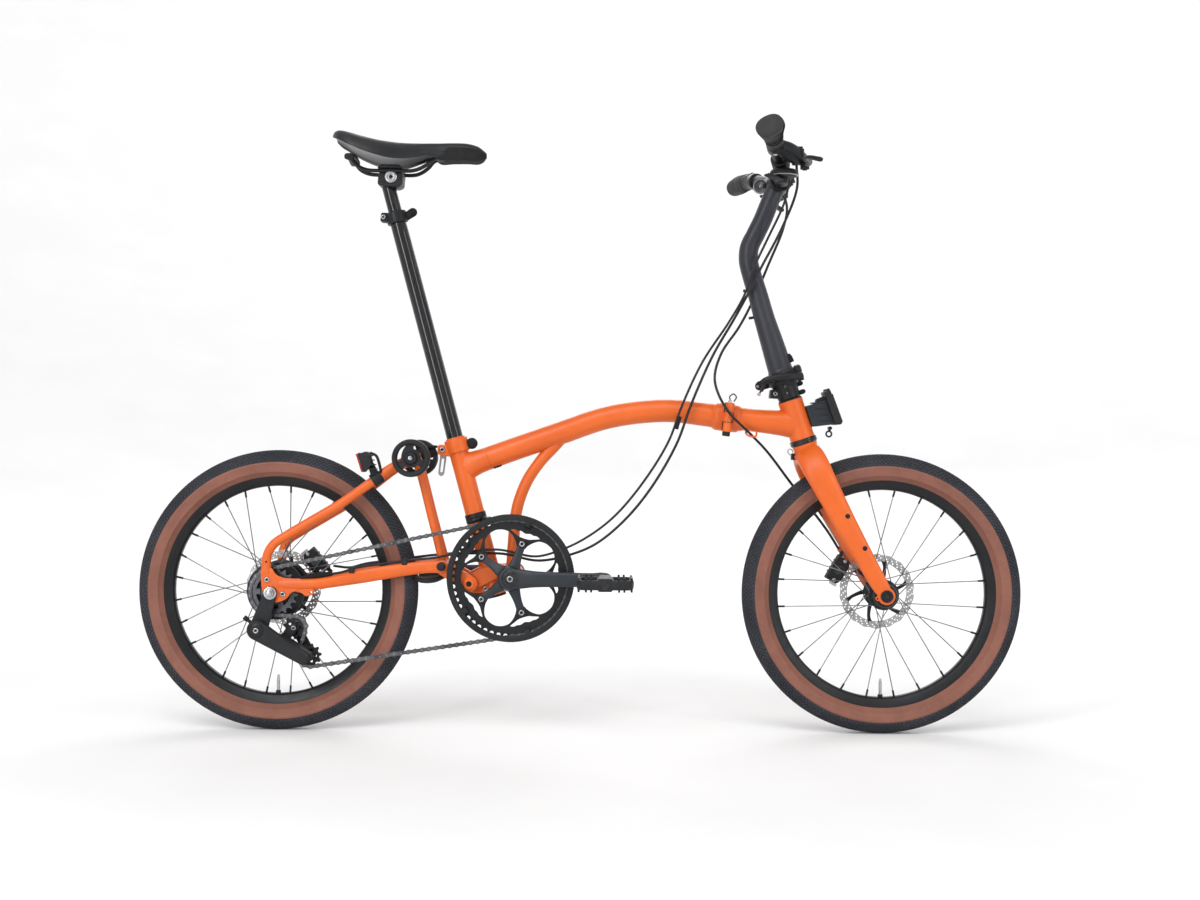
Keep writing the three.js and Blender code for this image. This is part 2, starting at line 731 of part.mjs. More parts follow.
function rearSide(side) {
  const chainstay = sweep(
    [
      at(-250, 302, side * STAY_FRONT_Y),
      at(-272, 302, side * STAY_FRONT_Y),
      at(-355, 291, side * STAY_FRONT_Y),
      at(-397, 284, side * 41),
      at(-430, 277, side * 52),
      at(-468, 271, side * 61),
      at(-515, 270, side * 65),
      at(-538, 272, side * 66),
    ],
    [[6, 11], [6, 11], [6, 12], [6.5, 12.5], [8.5, 10.5], [9.5, 9.5], [7, 9.5], [3.2, 9]],
  );
  const seatstay = sweep(
    [
      at(-304, 499, side * 36),
      at(-341, 481.5, side * 40),
      at(-434, 414, side * 58),
      at(-529, 357, side * 65),
      at(-554, 339, side * 66),
      at(-562, 316, side * 66),
      at(-562, 286, side * 66),
    ],
    [8.5, 8.5, 8.5, 8.5, 8.2, 8, [4, 8]],
  );
  const [y0, y1] = side < 0 ? [-69, -63] : [63, 69];
  const dropout = plate(
    outline(
      [-570, 300],
      [-570, 270],
      [-566, 246],
      [-552, 238],
      [-532, 240],
      [-520, 258],
      [-500, 262],
      [-500, 280],
      [-530, 281],
      [-546, 288],
      [-554, 300],
    ),
    y0,
    y1,
  );
  const [yoke0, yoke1] = side < 0 ? [-36, -25] : [25, 36];
  const yoke = plate(link([PIVOT_X, PIVOT_Z, 15], [-252, 301, 12]), yoke0, yoke1);
  const strut = sweep(
    [at(-300, 494, side * 20), at(-290, 462, side * 20), at(-249, 310, side * 22)],
    7,
    { sides: 10, steps: 2 },
  );
  return [chainstay, seatstay, dropout, yoke, strut];
}

function rearFrame() {
  const topTube = crossRod(ROLLER.x, ROLLER.z, -44, 44, 9);
  const rollerAxle = crossRod(ROLLER.x, ROLLER.z, -76.5, 76.5, 4);
  const bridge = crossRod(-251, 303, -40, 40, 10.5);
  const pivotPin = crossRod(PIVOT_X, PIVOT_Z, -38, 38, 6);
  const body = join(...rearSide(-1), ...rearSide(1), topTube, rollerAxle, bridge, pivotPin);
  return part('rear_frame', cut(body, crossRod(REAR_X, AXLE_Z, -80, 80, 5.6)), orangePaint);
}

function roller(name, side) {
  const { x, z, radius, y0, y1 } = ROLLER;
  const wheel = turned([
    [4.4, y0],
    [radius, y0],
    [radius, y1],
    [radius - 6, y1],
    [radius - 8, y1 - 5],
    [13, y1 - 5],
    [11, y1],
    [4.4, y1],
  ]);
  if (side < 0) wheel.rotateX(Math.PI);
  return part(name, wheel.translate(x, 0, z), blackPlastic);
}

function suspensionBlock() {
  const body = rod(at(-291, 505), at(-268, 513), 10.5, 10.5, 20);
  return part('suspension_block', body, blackRubber);
}

function rearLight() {
  const clampBand = rod(at(-374, 457.7, -46.5), at(-362, 466.4, -44.2), 13, 13, 12);
  const hole = rod(at(-400, 438.7, -51.7), at(-320, 497, -36.2), 9.9, 9.9, 12);
  const bracket = plate(outline([-380, 467], [-366, 477], [-376, 504], [-391, 500]), -56, -46);
  const housing = plate(outline([-398, 476], [-386, 480], [-384, 508], [-398, 508]), -68, -42);
  const lens = block(-404, -397, -69, -41, 472, 510);
  return part('rear_light', join(cut(clampBand, hole), bracket, housing, lens), blackPlastic);
}

function rearAxle() {
  const shaft = crossRod(REAR_X, AXLE_Z, -80, 78, 5);
  const nuts = [-1, 1].map((side) => {
    const [y0, y1] = side < 0 ? [-86, -76.4] : [69.4, 78];
    return crossRod(REAR_X, AXLE_Z, y0, y1, 8.5, 6);
  });
  return part('rear_axle', join(shaft, ...nuts), polishedSteel);
}

// ---- chain tensioner ----------------------------------------------------------------

const TENSIONER = { x: -574, z: 191 };
const JOCKEYS = { upper: [-514, 192], lower: [-486.6, 141.5] };

function tensionerHanger() {
  const { x, z } = TENSIONER;
  const arm = plate(link([REAR_X, AXLE_Z, 16], [x, z, 17]), -76, -69.4);
  const pin = crossRod(x, z, -90, -70, 6);
  const adjuster = rod(at(-594, 208, -72.7), at(-584, 200, -72.7), 3, 3, 10);
  const body = join(arm, pin, adjuster);
  return part('tensioner_hanger', cut(body, crossRod(REAR_X, AXLE_Z, -100, -60, 5.6)), satinBlack);
}

function tensionerArm() {
  const { x, z } = TENSIONER;
  const middle = [-534.7, 168.7];
  const hubBoss = crossRod(x, z, -92, -77, 19, TUBE_SIDES);
  const outer = plate(link([x, z, 18], [...JOCKEYS.lower, 13]), -91, -78);
  const housing = plate(link([...middle, 13], [...JOCKEYS.lower, 12]), -79, -55);
  const outerUpper = plate(link([...middle, 12], [...JOCKEYS.upper, 9]), -60, -55);
  const inner = plate(link([...JOCKEYS.upper, 9], [...JOCKEYS.lower, 9]), -41.5, -38.5);
  const pins = Object.values(JOCKEYS).map(([px, pz]) => crossRod(px, pz, -56, -40, 3.5, 12));
  const bore = crossRod(x, z, -100, -70, 6.4);
  const body = cut(join(hubBoss, outer, housing, outerUpper), bore);
  return part('tensioner_arm', join(body, inner, ...pins), satinBlack);
}

// A toothed wheel of the chain line, turned about its own centre.
function toothedDisc(inner, outer, halfWidth, y = CHAIN_Y) {
  const profile = [
    [inner, y - halfWidth],
    [outer, y - halfWidth],
    [outer, y + halfWidth],
    [inner, y + halfWidth],
  ];
  return turned(profile);
}

const jockey = (name) =>
  part(name, toothedDisc(3.9, JOCKEY_PITCH - CHAIN_HALF_HEIGHT - GAP, 4.5), blackPlastic);

function sprocket() {
  const disc = toothedDisc(13.4, SPROCKET_PITCH - CHAIN_HALF_HEIGHT - 1.2, 1.6);
  const lockring = turned([[13.4, -53], [24, -53], [24, -48], [13.4, -48]]);
  return part('sprocket', join(disc, lockring), polishedSteel);
}

// ---- crank, pedals and chain --------------------------------------------------------

const CRANK_INNER_Y = 63;
const CRANK_SPREAD = 17;
const CRANK_THICKNESS = 13;

// A crank arm along +x from the spindle, leaning outwards towards the pedal.
function crankArm(side) {
  const arm = plate(link([0, 0, 19], [CRANK_LENGTH, 0, 14]), 0, CRANK_THICKNESS, 8);
  const position = arm.attributes.position;
  for (let i = 0; i < position.count; i += 1) {
    const lean = (CRANK_SPREAD * THREE.MathUtils.clamp(position.getX(i), 0, CRANK_LENGTH)) / CRANK_LENGTH;
    position.setY(i, position.getY(i) + CRANK_INNER_Y + lean);
  }
  if (side < 0) arm.rotateX(Math.PI);
  return arm;
}

function crankset() {
  const spindle = crossRod(0, 0, -64, 84, 12.4);
  const boss = crossRod(0, 0, -66, -50.6, 22, TUBE_SIDES);
  const arms = [];
  for (let i = 0; i < 5; i += 1) {
    const angle = (2 * Math.PI * i) / 5;
    const tip = [BOLT_CIRCLE * Math.cos(angle), BOLT_CIRCLE * Math.sin(angle), 8];
    arms.push(plate(link([0, 0, 14], tip), -58, -50.6, 2));
  }
  const body = join(spindle, boss, crankArm(-1), ...arms);
  return part('crankset', cut(body, crossRod(CRANK_LENGTH, 0, -110, -60, 5.6)), charcoalPaint);
}

function leftCrank() {
  const boss = crossRod(0, 0, 56, 70, 18, TUBE_SIDES);
  const arm = crankArm(1);
  const body = join(boss, arm).rotateY(Math.PI);
  const bores = [crossRod(0, 0, 40, 100, 12.4 + GAP), crossRod(-CRANK_LENGTH, 0, 60, 110, 5.6)];
  return part('left_crank', cut(body, ...bores), charcoalPaint);
}

// The chainring with its outer chain guard, joined at five bosses.
function chainring() {
  const teeth = CHAINRING_PITCH - CHAIN_HALF_HEIGHT - 2;
  const ring = turned([[84, -50], [teeth, -50], [teeth, -46], [84, -46]], 28);
  const guard = turned([[93, -56], [115.5, -56], [115.5, -53], [93, -53]], 28);
  const tabs = [];
  for (let i = 0; i < 5; i += 1) {
    const angle = (2 * Math.PI * i) / 5;
    const spoke = plate(link([BOLT_CIRCLE, 0, 9], [83, 0, 12]), -50, -46, 2).rotateY(-angle);
    const post = crossRod(95.5, 0, -55, -48, 2.2, 5).rotateY(-angle);
    tabs.push(spoke, post);
  }
  return part('chainring', join(ring, guard, ...tabs), satinBlack);
}

function pedal(name, side) {
  const y = (distance) => side * distance;
  const span = (a, b) => [Math.min(y(a), y(b)), Math.max(y(a), y(b))];
  const [c0, c1] = span(104, 190);
  const cage = block(-49, 49, c0, c1, -12, 12);
  const windows = [-1, 1].map((s) => {
    const [x0, x1] = s < 0 ? [-41, -14] : [14, 41];
    const [w0, w1] = span(113, 181);
    return block(x0, x1, w0, w1, -20, 20);
  });
  const spindle = crossRod(0, 0, ...span(80, 106), 5, 12);
  return part(name, join(cut(cage, ...windows), spindle), blackPlastic);
}

// The chain's closed path: each wheel is [x, z, radius, sense], sense +1 where the chain
// runs anticlockwise round it in the side view and -1 where it runs clockwise.
const CHAIN_WHEELS = [
  [BB_X, BB_Z, CHAINRING_PITCH, 1],
  [REAR_X, AXLE_Z, SPROCKET_PITCH, 1],
  [...JOCKEYS.upper, JOCKEY_PITCH, -1],
  [...JOCKEYS.lower, JOCKEY_PITCH, 1],
];

function chainOutline(offset) {
  const count = CHAIN_WHEELS.length;
  const headings = CHAIN_WHEELS.map(([x, z, radius, sense], i) => {
    const [nx, nz, nRadius, nSense] = CHAIN_WHEELS[(i + 1) % count];
    const bearing = Math.atan2(nz - z, nx - x);
    return bearing - Math.asin((nSense * nRadius - sense * radius) / Math.hypot(nx - x, nz - z));
  });
  const points = [];
  CHAIN_WHEELS.forEach(([x, z, radius, sense], i) => {
    const start = headings[(i + count - 1) % count];
    let turn = headings[i] - start;
    while (sense > 0 && turn < 0) turn += 2 * Math.PI;
    while (sense < 0 && turn > 0) turn -= 2 * Math.PI;
    const steps = Math.max(3, Math.ceil(Math.abs(turn) / 0.3));
    const reach = sense * radius + offset;
    for (let k = 0; k <= steps; k += 1) {
      const heading = start + (turn * k) / steps;
      points.push(new THREE.Vector2(x + reach * Math.sin(heading), z - reach * Math.cos(heading)));
    }
  });
  return points;
}

function chain() {
  const shape = new THREE.Shape(chainOutline(CHAIN_HALF_HEIGHT));
  shape.holes.push(new THREE.Path(chainOutline(-CHAIN_HALF_HEIGHT)));
  const half = CHAIN_WIDTH / 2;
  return part('chain', plate(shape, CHAIN_Y - half, CHAIN_Y + half), chainSteel);
}

// ---- seat post and saddle -----------------------------------------------------------

const POST_BOTTOM_Z = 392;
const POST_TOP_Z = 940;

function seatpostOuter() {
  const tube = rod(seatAt(POST_BOTTOM_Z), seatAt(POST_TOP_Z), POST_RADIUS, POST_RADIUS, TUBE_SIDES);
  const bore = rod(seatAt(300), seatAt(1000), INNER_POST_RADIUS + GAP, INNER_POST_RADIUS + GAP, TUBE_SIDES);
  return part('seatpost_outer', cut(tube, bore), glossBlack);
}

function seatpostRing() {
  const band = rod(seatAt(930), seatAt(950), 19, 19, TUBE_SIDES);
  const bore = rod(seatAt(900), seatAt(980), POST_RADIUS + GAP, POST_RADIUS + GAP, TUBE_SIDES);
  const lugs = block(-367, -352, -9, 9, 932, 948);
  const slot = block(-370, -345, -1.5, 1.5, 925, 955);
  const bolt = crossRod(-361.5, 940, -13, 13, 4, 12);
  const stop = block(-329, -304, -7, 7, 930, 944);
  return part('seatpost_ring', join(cut(join(band, lugs, stop), bore, slot), bolt), satinBlack);
}

function seatpostInner() {
  const tube = rod(seatAt(690), seatAt(1006), INNER_POST_RADIUS, INNER_POST_RADIUS, TUBE_SIDES);
  const head = plate(outline([-374, 998], [-340, 994], [-330, 1012], [-332, 1019], [-374, 1019]), -20, 20);
  const top = plate(outline([-372, 1027.6], [-330, 1027.6], [-336, 1033], [-366, 1034]), -27, 27);
  const bolt = crossRod(-350, 1012, -24, 24, 5, 12);
  const posts = [block(-362, -340, -12, 12, 1015, 1030)];
  return part('seatpost_inner', join(tube, head, top, bolt, ...posts), satinBlack);
}

function saddleRails() {
  const rails = [-1, 1].map((s) =>
    sweep(
      [
        at(-424, 1046, s * 30),
        at(-410, 1031, s * 24),
        at(-392, 1023.3, s * 22),
        at(-350, 1023.3, s * 22),
        at(-304, 1023.3, s * 22),
        at(-285, 1034, s * 17),
        at(-262, 1050, s * 9),
      ],
      3.5,
      { sides: 6 },
    ),
  );
  const nose = crossRod(-263, 1050, -12, 12, 4, 10);
  const tail = crossRod(-424, 1047, -34, 34, 4, 10);
  return part('saddle_rails', join(...rails, nose, tail), satinBlack);
}

function saddle() {
  const shell = sweep(
    [
      at(-454, 1084),
      at(-438, 1079),
      at(-400, 1067.5),
      at(-367, 1062),
      at(-320, 1061),
      at(-261, 1062),
      at(-215, 1062.5),
      at(-190, 1061),
      at(-177, 1057),
    ],
    [[40, 6], [66, 12], [73, 13], [66, 14], [38, 14], [21, 14.5], [17, 14.5], [13, 11], [5, 5]],
    { sides: 16, steps: 1 },
  );
  const room = join(
    crossRod(-263, 1050, -16, 16, 7.5, 10),
    crossRod(-424, 1047, -38, 38, 7.5, 10),
  );
  return part('saddle', cut(shell, room), saddleCover);
}

// ---- brake hoses and gear cable -----------------------------------------------------

const CABLE = { sides: 6, steps: 2 };

function frontBrakeHose() {
  const route = [
    at(372, 1022, 120),
    at(392, 990, 96),
    at(386, 930, 40),
    at(352, 860, 27),
    at(322, 800, 25),
    at(290, 745, 4),
    at(256, 695, -16),
    at(242, 650, -38),
    at(248, 618, -52),
    at(268, 584, -54),
    at(291, 562, -42),
    at(312, 545, -14),
    at(345, 514, 16),
    at(391, 457, 38),
    at(430, 408, 42),
    at(462, 366, 44),
    at(482, 334, 43),
  ];
  return part('front_brake_hose', sweep(route, 2.4, CABLE), blackPlastic);
}

function rearBrakeHose() {
  const route = [
    at(378, 1022, -112),
    at(394, 980, -80),
    at(382, 920, -36),
    at(345, 850, -26),
    at(318, 805, -25),
    at(285, 760, -14),
    at(240, 690, -16),
    at(200, 600, -34),
    at(175, 530, -32),
    at(130, 450, -28),
    at(82, 390, -26),
    at(30, 346, -26),
    at(-15, 326, -26),
    at(-75, 314, -27),
    at(-140, 326, -28),
    at(-205, 326, -24),
    at(-230, 324, -4),
    at(-233, 323.5, 18),
    at(-250, 320.5, 35),
    at(-276, 318, 38),
    at(-355, 307.5, 38),
    at(-400, 301, 43),
    at(-432, 293, 50),
    at(-462, 296, 48),
  ];
  return part('rear_brake_hose', sweep(route, 2.4, CABLE), blackPlastic);
}

function gearCable() {
  const route = [
    at(368.5, 1003, -101),
    at(372, 960, -60),
    at(350, 900, -30),
    at(316, 850, -27),
    at(296, 800, -24),
    at(268, 750, -20),
    at(222, 680, -22),
    at(184, 600, -40),
    at(158, 530, -38),
    at(108, 450, -34),
    at(58, 392, -33),
    at(10, 356, -33),
    at(-30, 336, -33),
    at(-80, 322, -33),
    at(-150, 334, -34),
    at(-215, 328, -37),
    at(-262, 319, -39),
    at(-300, 315, -38),
    at(-355, 307.5, -39),
    at(-400, 301, -44),
    at(-432, 292, -54),
    at(-470, 287, -58),
    at(-506, 279, -57),
  ];
  return part('gear_cable', sweep(route, 2.2, CABLE), blackPlastic);
}

// ---- assembly -----------------------------------------------------------------------

const FRONT_AXLE = at(FRONT_X, AXLE_Z);
const REAR_AXLE = at(REAR_X, AXLE_Z);
const CRANK_AXIS = at(BB_X, BB_Z);

const bicycle = new THREE.Group();
bicycle.add(
  mainFrame(),
  hingePin(),
  hingeLever(),
  seatClamp(),
  seatClampLever(),
  bottomBracket().translateX(BB_X).translateZ(BB_Z),
  frontFrame(),
  headsetLower(),
  carrierBlock(),
  carrierLatch(),
  fork(),
  frontAxle(),
  caliper('front_caliper', 480, 296, 0.54),
  stemBase(),
  stemHingeLever(),
  stem(),
  handlebar(),
  grip('grip_right', -1),
  grip('grip_left', 1),
  leverMount('lever_mount_right', -1),
  leverMount('lever_mount_left', 1),
  brakeLever('brake_lever_right', -1),
  brakeLever('brake_lever_left', 1),
  shifter(),
  shiftLever(),
  bell(),
  group(FRONT_AXLE, tyre('front_tyre'), rim('front_rim'), frontHub(), rotor('front_rotor')),
  rearFrame(),
  suspensionBlock(),
  caliper('rear_caliper', -493, 304, 2.46),
  rearLight(),
  rearAxle(),
  roller('roller_right', -1),
  roller('roller_left', 1),
  group(REAR_AXLE, tyre('rear_tyre'), rim('rear_rim'), rearHub(), rotor('rear_rotor'), sprocket()),
  tensionerHanger(),
  tensionerArm(),
  group(at(...JOCKEYS.upper), jockey('jockey_upper')),
  group(at(...JOCKEYS.lower), jockey('jockey_lower')),
  group(CRANK_AXIS, crankset(), leftCrank(), chainring()),
  group(at(BB_X + CRANK_LENGTH, BB_Z), pedal('pedal_right', -1)),
  group(at(BB_X - CRANK_LENGTH, BB_Z), pedal('pedal_left', 1)),
  chain(),
  seatpostOuter(),
  seatpostRing(),
  seatpostInner(),
  saddleRails(),
  saddle(),
  frontBrakeHose(),
  rearBrakeHose(),
  gearCable(),
);

export default bicycle;
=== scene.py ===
# Folding bicycle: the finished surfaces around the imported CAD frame. The scene is in
# metres. Shapes are written in millimetres, in the same frame, and scaled when a mesh is
# made: +X is forward, +Y is the rider's left, +Z is up.
import json
import math

import bmesh
import bpy
from mathutils import Matrix, Vector
from mathutils.geometry import tessellate_polygon


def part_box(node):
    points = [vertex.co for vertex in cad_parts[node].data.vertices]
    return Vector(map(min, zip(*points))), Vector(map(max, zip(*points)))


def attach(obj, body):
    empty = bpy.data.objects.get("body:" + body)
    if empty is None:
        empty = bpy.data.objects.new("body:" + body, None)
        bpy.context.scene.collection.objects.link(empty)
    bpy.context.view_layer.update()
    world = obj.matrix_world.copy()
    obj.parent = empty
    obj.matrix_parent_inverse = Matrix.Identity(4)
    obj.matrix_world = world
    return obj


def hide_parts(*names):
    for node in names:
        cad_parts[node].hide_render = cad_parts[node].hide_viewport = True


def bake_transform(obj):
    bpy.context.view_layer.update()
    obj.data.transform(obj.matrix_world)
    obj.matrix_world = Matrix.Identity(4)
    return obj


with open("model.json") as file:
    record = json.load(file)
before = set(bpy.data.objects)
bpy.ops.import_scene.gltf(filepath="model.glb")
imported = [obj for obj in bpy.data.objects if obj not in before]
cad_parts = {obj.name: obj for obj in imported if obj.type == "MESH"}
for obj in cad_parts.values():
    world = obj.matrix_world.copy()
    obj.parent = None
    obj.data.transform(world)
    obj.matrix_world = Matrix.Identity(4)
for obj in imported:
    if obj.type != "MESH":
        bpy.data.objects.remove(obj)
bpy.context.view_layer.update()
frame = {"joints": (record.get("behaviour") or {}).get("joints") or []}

MM = 0.001
TAU = 2 * math.pi
JOINTS = {joint["name"]: joint for joint in frame["joints"]}


def place_of(joint):
    """Where a joint is, in millimetres."""
    return Vector(JOINTS[joint]["pos_m"]) / MM


FRONT_AXLE = place_of("front_wheel_spin")
REAR_AXLE = place_of("rear_wheel_spin")
CRANK_AXIS = place_of("crank_spin")
REAR_PIVOT = place_of("rear_fold")
HINGE_PIN = place_of("frame_fold")
ROLLER_AXLE = place_of("roller_right_spin")
TENSIONER = place_of("tensioner_swing")
JOCKEY_UPPER = place_of("jockey_upper_spin")
JOCKEY_LOWER = place_of("jockey_lower_spin")
STEER = place_of("steering")
STEER_UP = -Vector(JOINTS["steering"]["axis"])
SEAT_UP = Vector(JOINTS["seatpost_slide"]["axis"])
SEAT_X = -163.0
TYRE_RADIUS = (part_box("front_tyre")[1].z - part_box("front_tyre")[0].z) / 2 / MM
RIM_RADIUS = (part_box("front_rim")[1].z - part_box("front_rim")[0].z) / 2 / MM
CRANK_LENGTH = place_of("pedal_right_spin").x - CRANK_AXIS.x
CHAIN_Y = (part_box("chain")[0].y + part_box("chain")[1].y) / 2 / MM
CHAIN_PITCH = 12.7
CHAINRING_TEETH = 52
SPROCKET_TEETH = 21
JOCKEY_TEETH = 10
FORWARD, ACROSS, UPWARD = (1, 0, 0), (0, 1, 0), (0, 0, 1)
NO_MOVE = Matrix.Identity(4)


def seat(z):
    """The point of the seat tube's axis at a height."""
    return Vector((SEAT_X, 0, CRANK_AXIS.z)) + SEAT_UP * ((z - CRANK_AXIS.z) / SEAT_UP.z)


def steer(z, y=0.0):
    """The point of the steering axis at a height, moved sideways by y."""
    return STEER + STEER_UP * ((z - STEER.z) / STEER_UP.z) + Vector((0, y, 0))


def standing(spot, up):
    """A place at a spot whose y axis, the axis that turned() turns about, lies along up."""
    lean = Vector((0, 0, 1)).rotation_difference(up).to_matrix().to_4x4()
    return Matrix.Translation(spot) @ lean @ Matrix.Rotation(math.radians(90), 4, "X")


# ---- surfaces -------------------------------------------------------------------------


class Surface:
    """A procedural material: two colours mixed by a slow noise, and a fine grain."""

    def __init__(self, name, rough, metal=0.0):
        self.material = bpy.data.materials.new(name)
        self.material.use_nodes = True
        self.tree = self.material.node_tree
        self.shader = self.tree.nodes["Principled BSDF"]
        self.shader.inputs["Metallic"].default_value = metal
        self.shader.inputs["Roughness"].default_value = rough
        self.coords = self.node("ShaderNodeTexCoord").outputs["Object"]

    def node(self, kind, **sockets):
        made = self.tree.nodes.new(kind)
        for name, value in sockets.items():
            self.feed(made.inputs[name.replace("_", " ")], value)
        return made

    def feed(self, socket, value):
        if isinstance(value, bpy.types.NodeSocket):
            self.tree.links.new(value, socket)
        else:
            socket.default_value = value

    def noise(self, scale, detail=3.0, vector=None):
        vector = vector or self.coords
        return self.node("ShaderNodeTexNoise", Vector=vector, Scale=scale, Detail=detail).outputs["Fac"]

    def math(self, operation, a, b=0.0):
        made = self.tree.nodes.new("ShaderNodeMath")
        made.operation = operation
        self.feed(made.inputs[0], a)
        self.feed(made.inputs[1], b)
        return made.outputs[0]

    def spread(self, value, low, high, source=(0.35, 0.65)):
        made = self.node("ShaderNodeMapRange", Value=value)
        made.inputs["From Min"].default_value, made.inputs["From Max"].default_value = source
        made.inputs["To Min"].default_value, made.inputs["To Max"].default_value = low, high
        return made.outputs["Result"]

    def colour(self, first, second, factor):
        mix = self.tree.nodes.new("ShaderNodeMix")
        mix.data_type = "RGBA"
        self.feed(mix.inputs["Factor"], factor)
        mix.inputs["A"].default_value = (*first, 1)
        mix.inputs["B"].default_value = (*second, 1)
        self.tree.links.new(mix.outputs["Result"], self.shader.inputs["Base Color"])
        return mix

    def roughness(self, low, high, scale=90):
        self.feed(self.shader.inputs["Roughness"], self.spread(self.noise(scale), low, high))

    def bump(self, height, strength, distance):
        made = self.node("ShaderNodeBump", Height=height, Strength=strength, Distance=distance)
        self.tree.links.new(made.outputs["Normal"], self.shader.inputs["Normal"])

    def polar(self, centre):
        """Distance from a wheel's axle, in metres, and the angle round it in radians."""
        offset = self.tree.nodes.new("ShaderNodeVectorMath")
        offset.operation = "SUBTRACT"
        self.tree.links.new(self.coords, offset.inputs[0])
        offset.inputs[1].default_value = centre * MM
        split = self.node("ShaderNodeSeparateXYZ", Vector=offset.outputs["Vector"])
        x, z = split.outputs["X"], split.outputs["Z"]
        reach = self.math("SQRT", self.math("ADD", self.math("MULTIPLY", x, x),
                                            self.math("MULTIPLY", z, z)))
        return reach, self.math("ARCTAN2", z, x)


def coated(name, first, second, rough, grain, strength, metal=0.0, coat=0.0, shine=0.3):
    """Paint, anodising, plastic or rubber with a fine grain of the given frequency."""
    made = Surface(name, rough[0], metal)
    made.colour(first, second, made.spread(made.noise(14.0, 5.0), 0.0, 1.0))
    made.roughness(*rough)
    made.bump(made.noise(grain, 2.0), strength, 0.0004)
    made.shader.inputs["Specular IOR Level"].default_value = shine
    made.shader.inputs["Coat Weight"].default_value = coat
    made.shader.inputs["Coat Roughness"].default_value = 0.12
    return made.material


def brushed(name, first, second, rough, direction):
    """Bare metal with fine marks drawn out along one direction."""
    made = Surface(name, rough[0], 1.0)
    stretch = made.node("ShaderNodeMapping", Vector=made.coords)
    stretch.inputs["Scale"].default_value = direction
    marks = made.noise(900.0, 4.0, stretch.outputs["Vector"])
    made.colour(first, second, made.spread(made.noise(40.0, 4.0), 0.0, 1.0))
    made.feed(made.shader.inputs["Roughness"], made.spread(marks, *rough))
    made.bump(marks, 0.12, 0.0002)
    return made.material


ORANGE = coated("orange_paint", (0.72, 0.124, 0.011), (0.65, 0.106, 0.010), (0.36, 0.46), 900, 0.10, 0.0,
                0.06, 0.4)
CHARCOAL = coated("charcoal_anodised", (0.030, 0.034, 0.041), (0.024, 0.028, 0.034), (0.34, 0.44), 1600,
                  0.12, 0.2)
STEM_PAINT = coated("stem_anodised", (0.040, 0.041, 0.052), (0.033, 0.034, 0.043), (0.34, 0.44), 1600, 0.12,
                    0.2)
GLOSS = coated("gloss_black", (0.007, 0.007, 0.008), (0.010, 0.010, 0.012), (0.09, 0.17), 500, 0.02, 0.0,
               0.4)
SATIN = coated("satin_black_metal", (0.010, 0.0105, 0.012), (0.015, 0.016, 0.018), (0.34, 0.48), 1500, 0.10,
               0.2)
PLASTIC = coated("moulded_plastic", (0.012, 0.0125, 0.014), (0.017, 0.018, 0.020), (0.48, 0.62), 1900, 0.22,
                 shine=0.25)
RIM_BLACK = coated("rim_black", (0.010, 0.0105, 0.012), (0.014, 0.015, 0.017), (0.3, 0.42), 1300, 0.08, 0.2)
TREAD = coated("tread_rubber", (0.034, 0.036, 0.043), (0.046, 0.048, 0.057), (0.72, 0.86), 1400, 0.3,
               shine=0.2)
RUBBER = coated("soft_rubber", (0.010, 0.010, 0.011), (0.015, 0.015, 0.016), (0.7, 0.82), 1500, 0.25,
                shine=0.2)
HOSE = coated("hose_jacket", (0.010, 0.010, 0.011), (0.015, 0.015, 0.017), (0.3, 0.42), 1500, 0.05)
STEEL = brushed("polished_steel", (0.50, 0.50, 0.52), (0.40, 0.40, 0.42), (0.2, 0.34), (1, 1, 1))
ALLOY = brushed("bead_blasted_alloy", (0.42, 0.42, 0.43), (0.34, 0.34, 0.35), (0.42, 0.55), (1, 1, 1))
ROTOR_STEEL = brushed("rotor_steel", (0.46, 0.455, 0.455), (0.36, 0.355, 0.36), (0.26, 0.42), (1, 0.1, 1))
SPOKE_STEEL = brushed("spoke_steel", (0.20, 0.20, 0.21), (0.15, 0.15, 0.16), (0.3, 0.44), (1, 1, 1))
CHAIN_STEEL = brushed("chain_steel", (0.15, 0.15, 0.155), (0.08, 0.08, 0.085), (0.32, 0.5), (1, 0.2, 1))
PIN_STEEL = brushed("chain_pin_steel", (0.24, 0.24, 0.25), (0.18, 0.18, 0.19), (0.3, 0.42), (1, 1, 1))
COG_STEEL = brushed("cog_steel", (0.115, 0.12, 0.135), (0.085, 0.09, 0.10), (0.3, 0.44), (1, 0.2, 1))


def sidewall(name, centre):
    """Tan casing rubber with slanted casing threads."""
    made = Surface(name, 0.7)
    reach, angle = made.polar(centre)
    slow = made.noise(22.0, 5.0)
    made.colour((0.190, 0.072, 0.048), (0.235, 0.090, 0.060), made.spread(slow, 0.0, 1.0))
    made.roughness(0.62, 0.78, 120)
    lean = [made.math("ADD", made.math("MULTIPLY", angle, 560.0), made.math("MULTIPLY", reach, s))
            for s in (2600.0, -2600.0)]
    threads = made.math("MULTIPLY", made.math("SINE", lean[0]), made.math("SINE", lean[1]))
    made.bump(threads, 0.25, 0.0002)
    return made.material


def grip_rubber():
    """Grip rubber with small raised cells."""
    made = Surface("grip_rubber", 0.75)
    made.colour((0.017, 0.017, 0.018), (0.024, 0.024, 0.026), made.spread(made.noise(30.0), 0.0, 1.0))
    made.roughness(0.62, 0.78)
    cells = made.node("ShaderNodeTexVoronoi", Vector=made.coords, Scale=420.0).outputs["Distance"]
    made.bump(cells, 0.5, 0.0006)
    return made.material


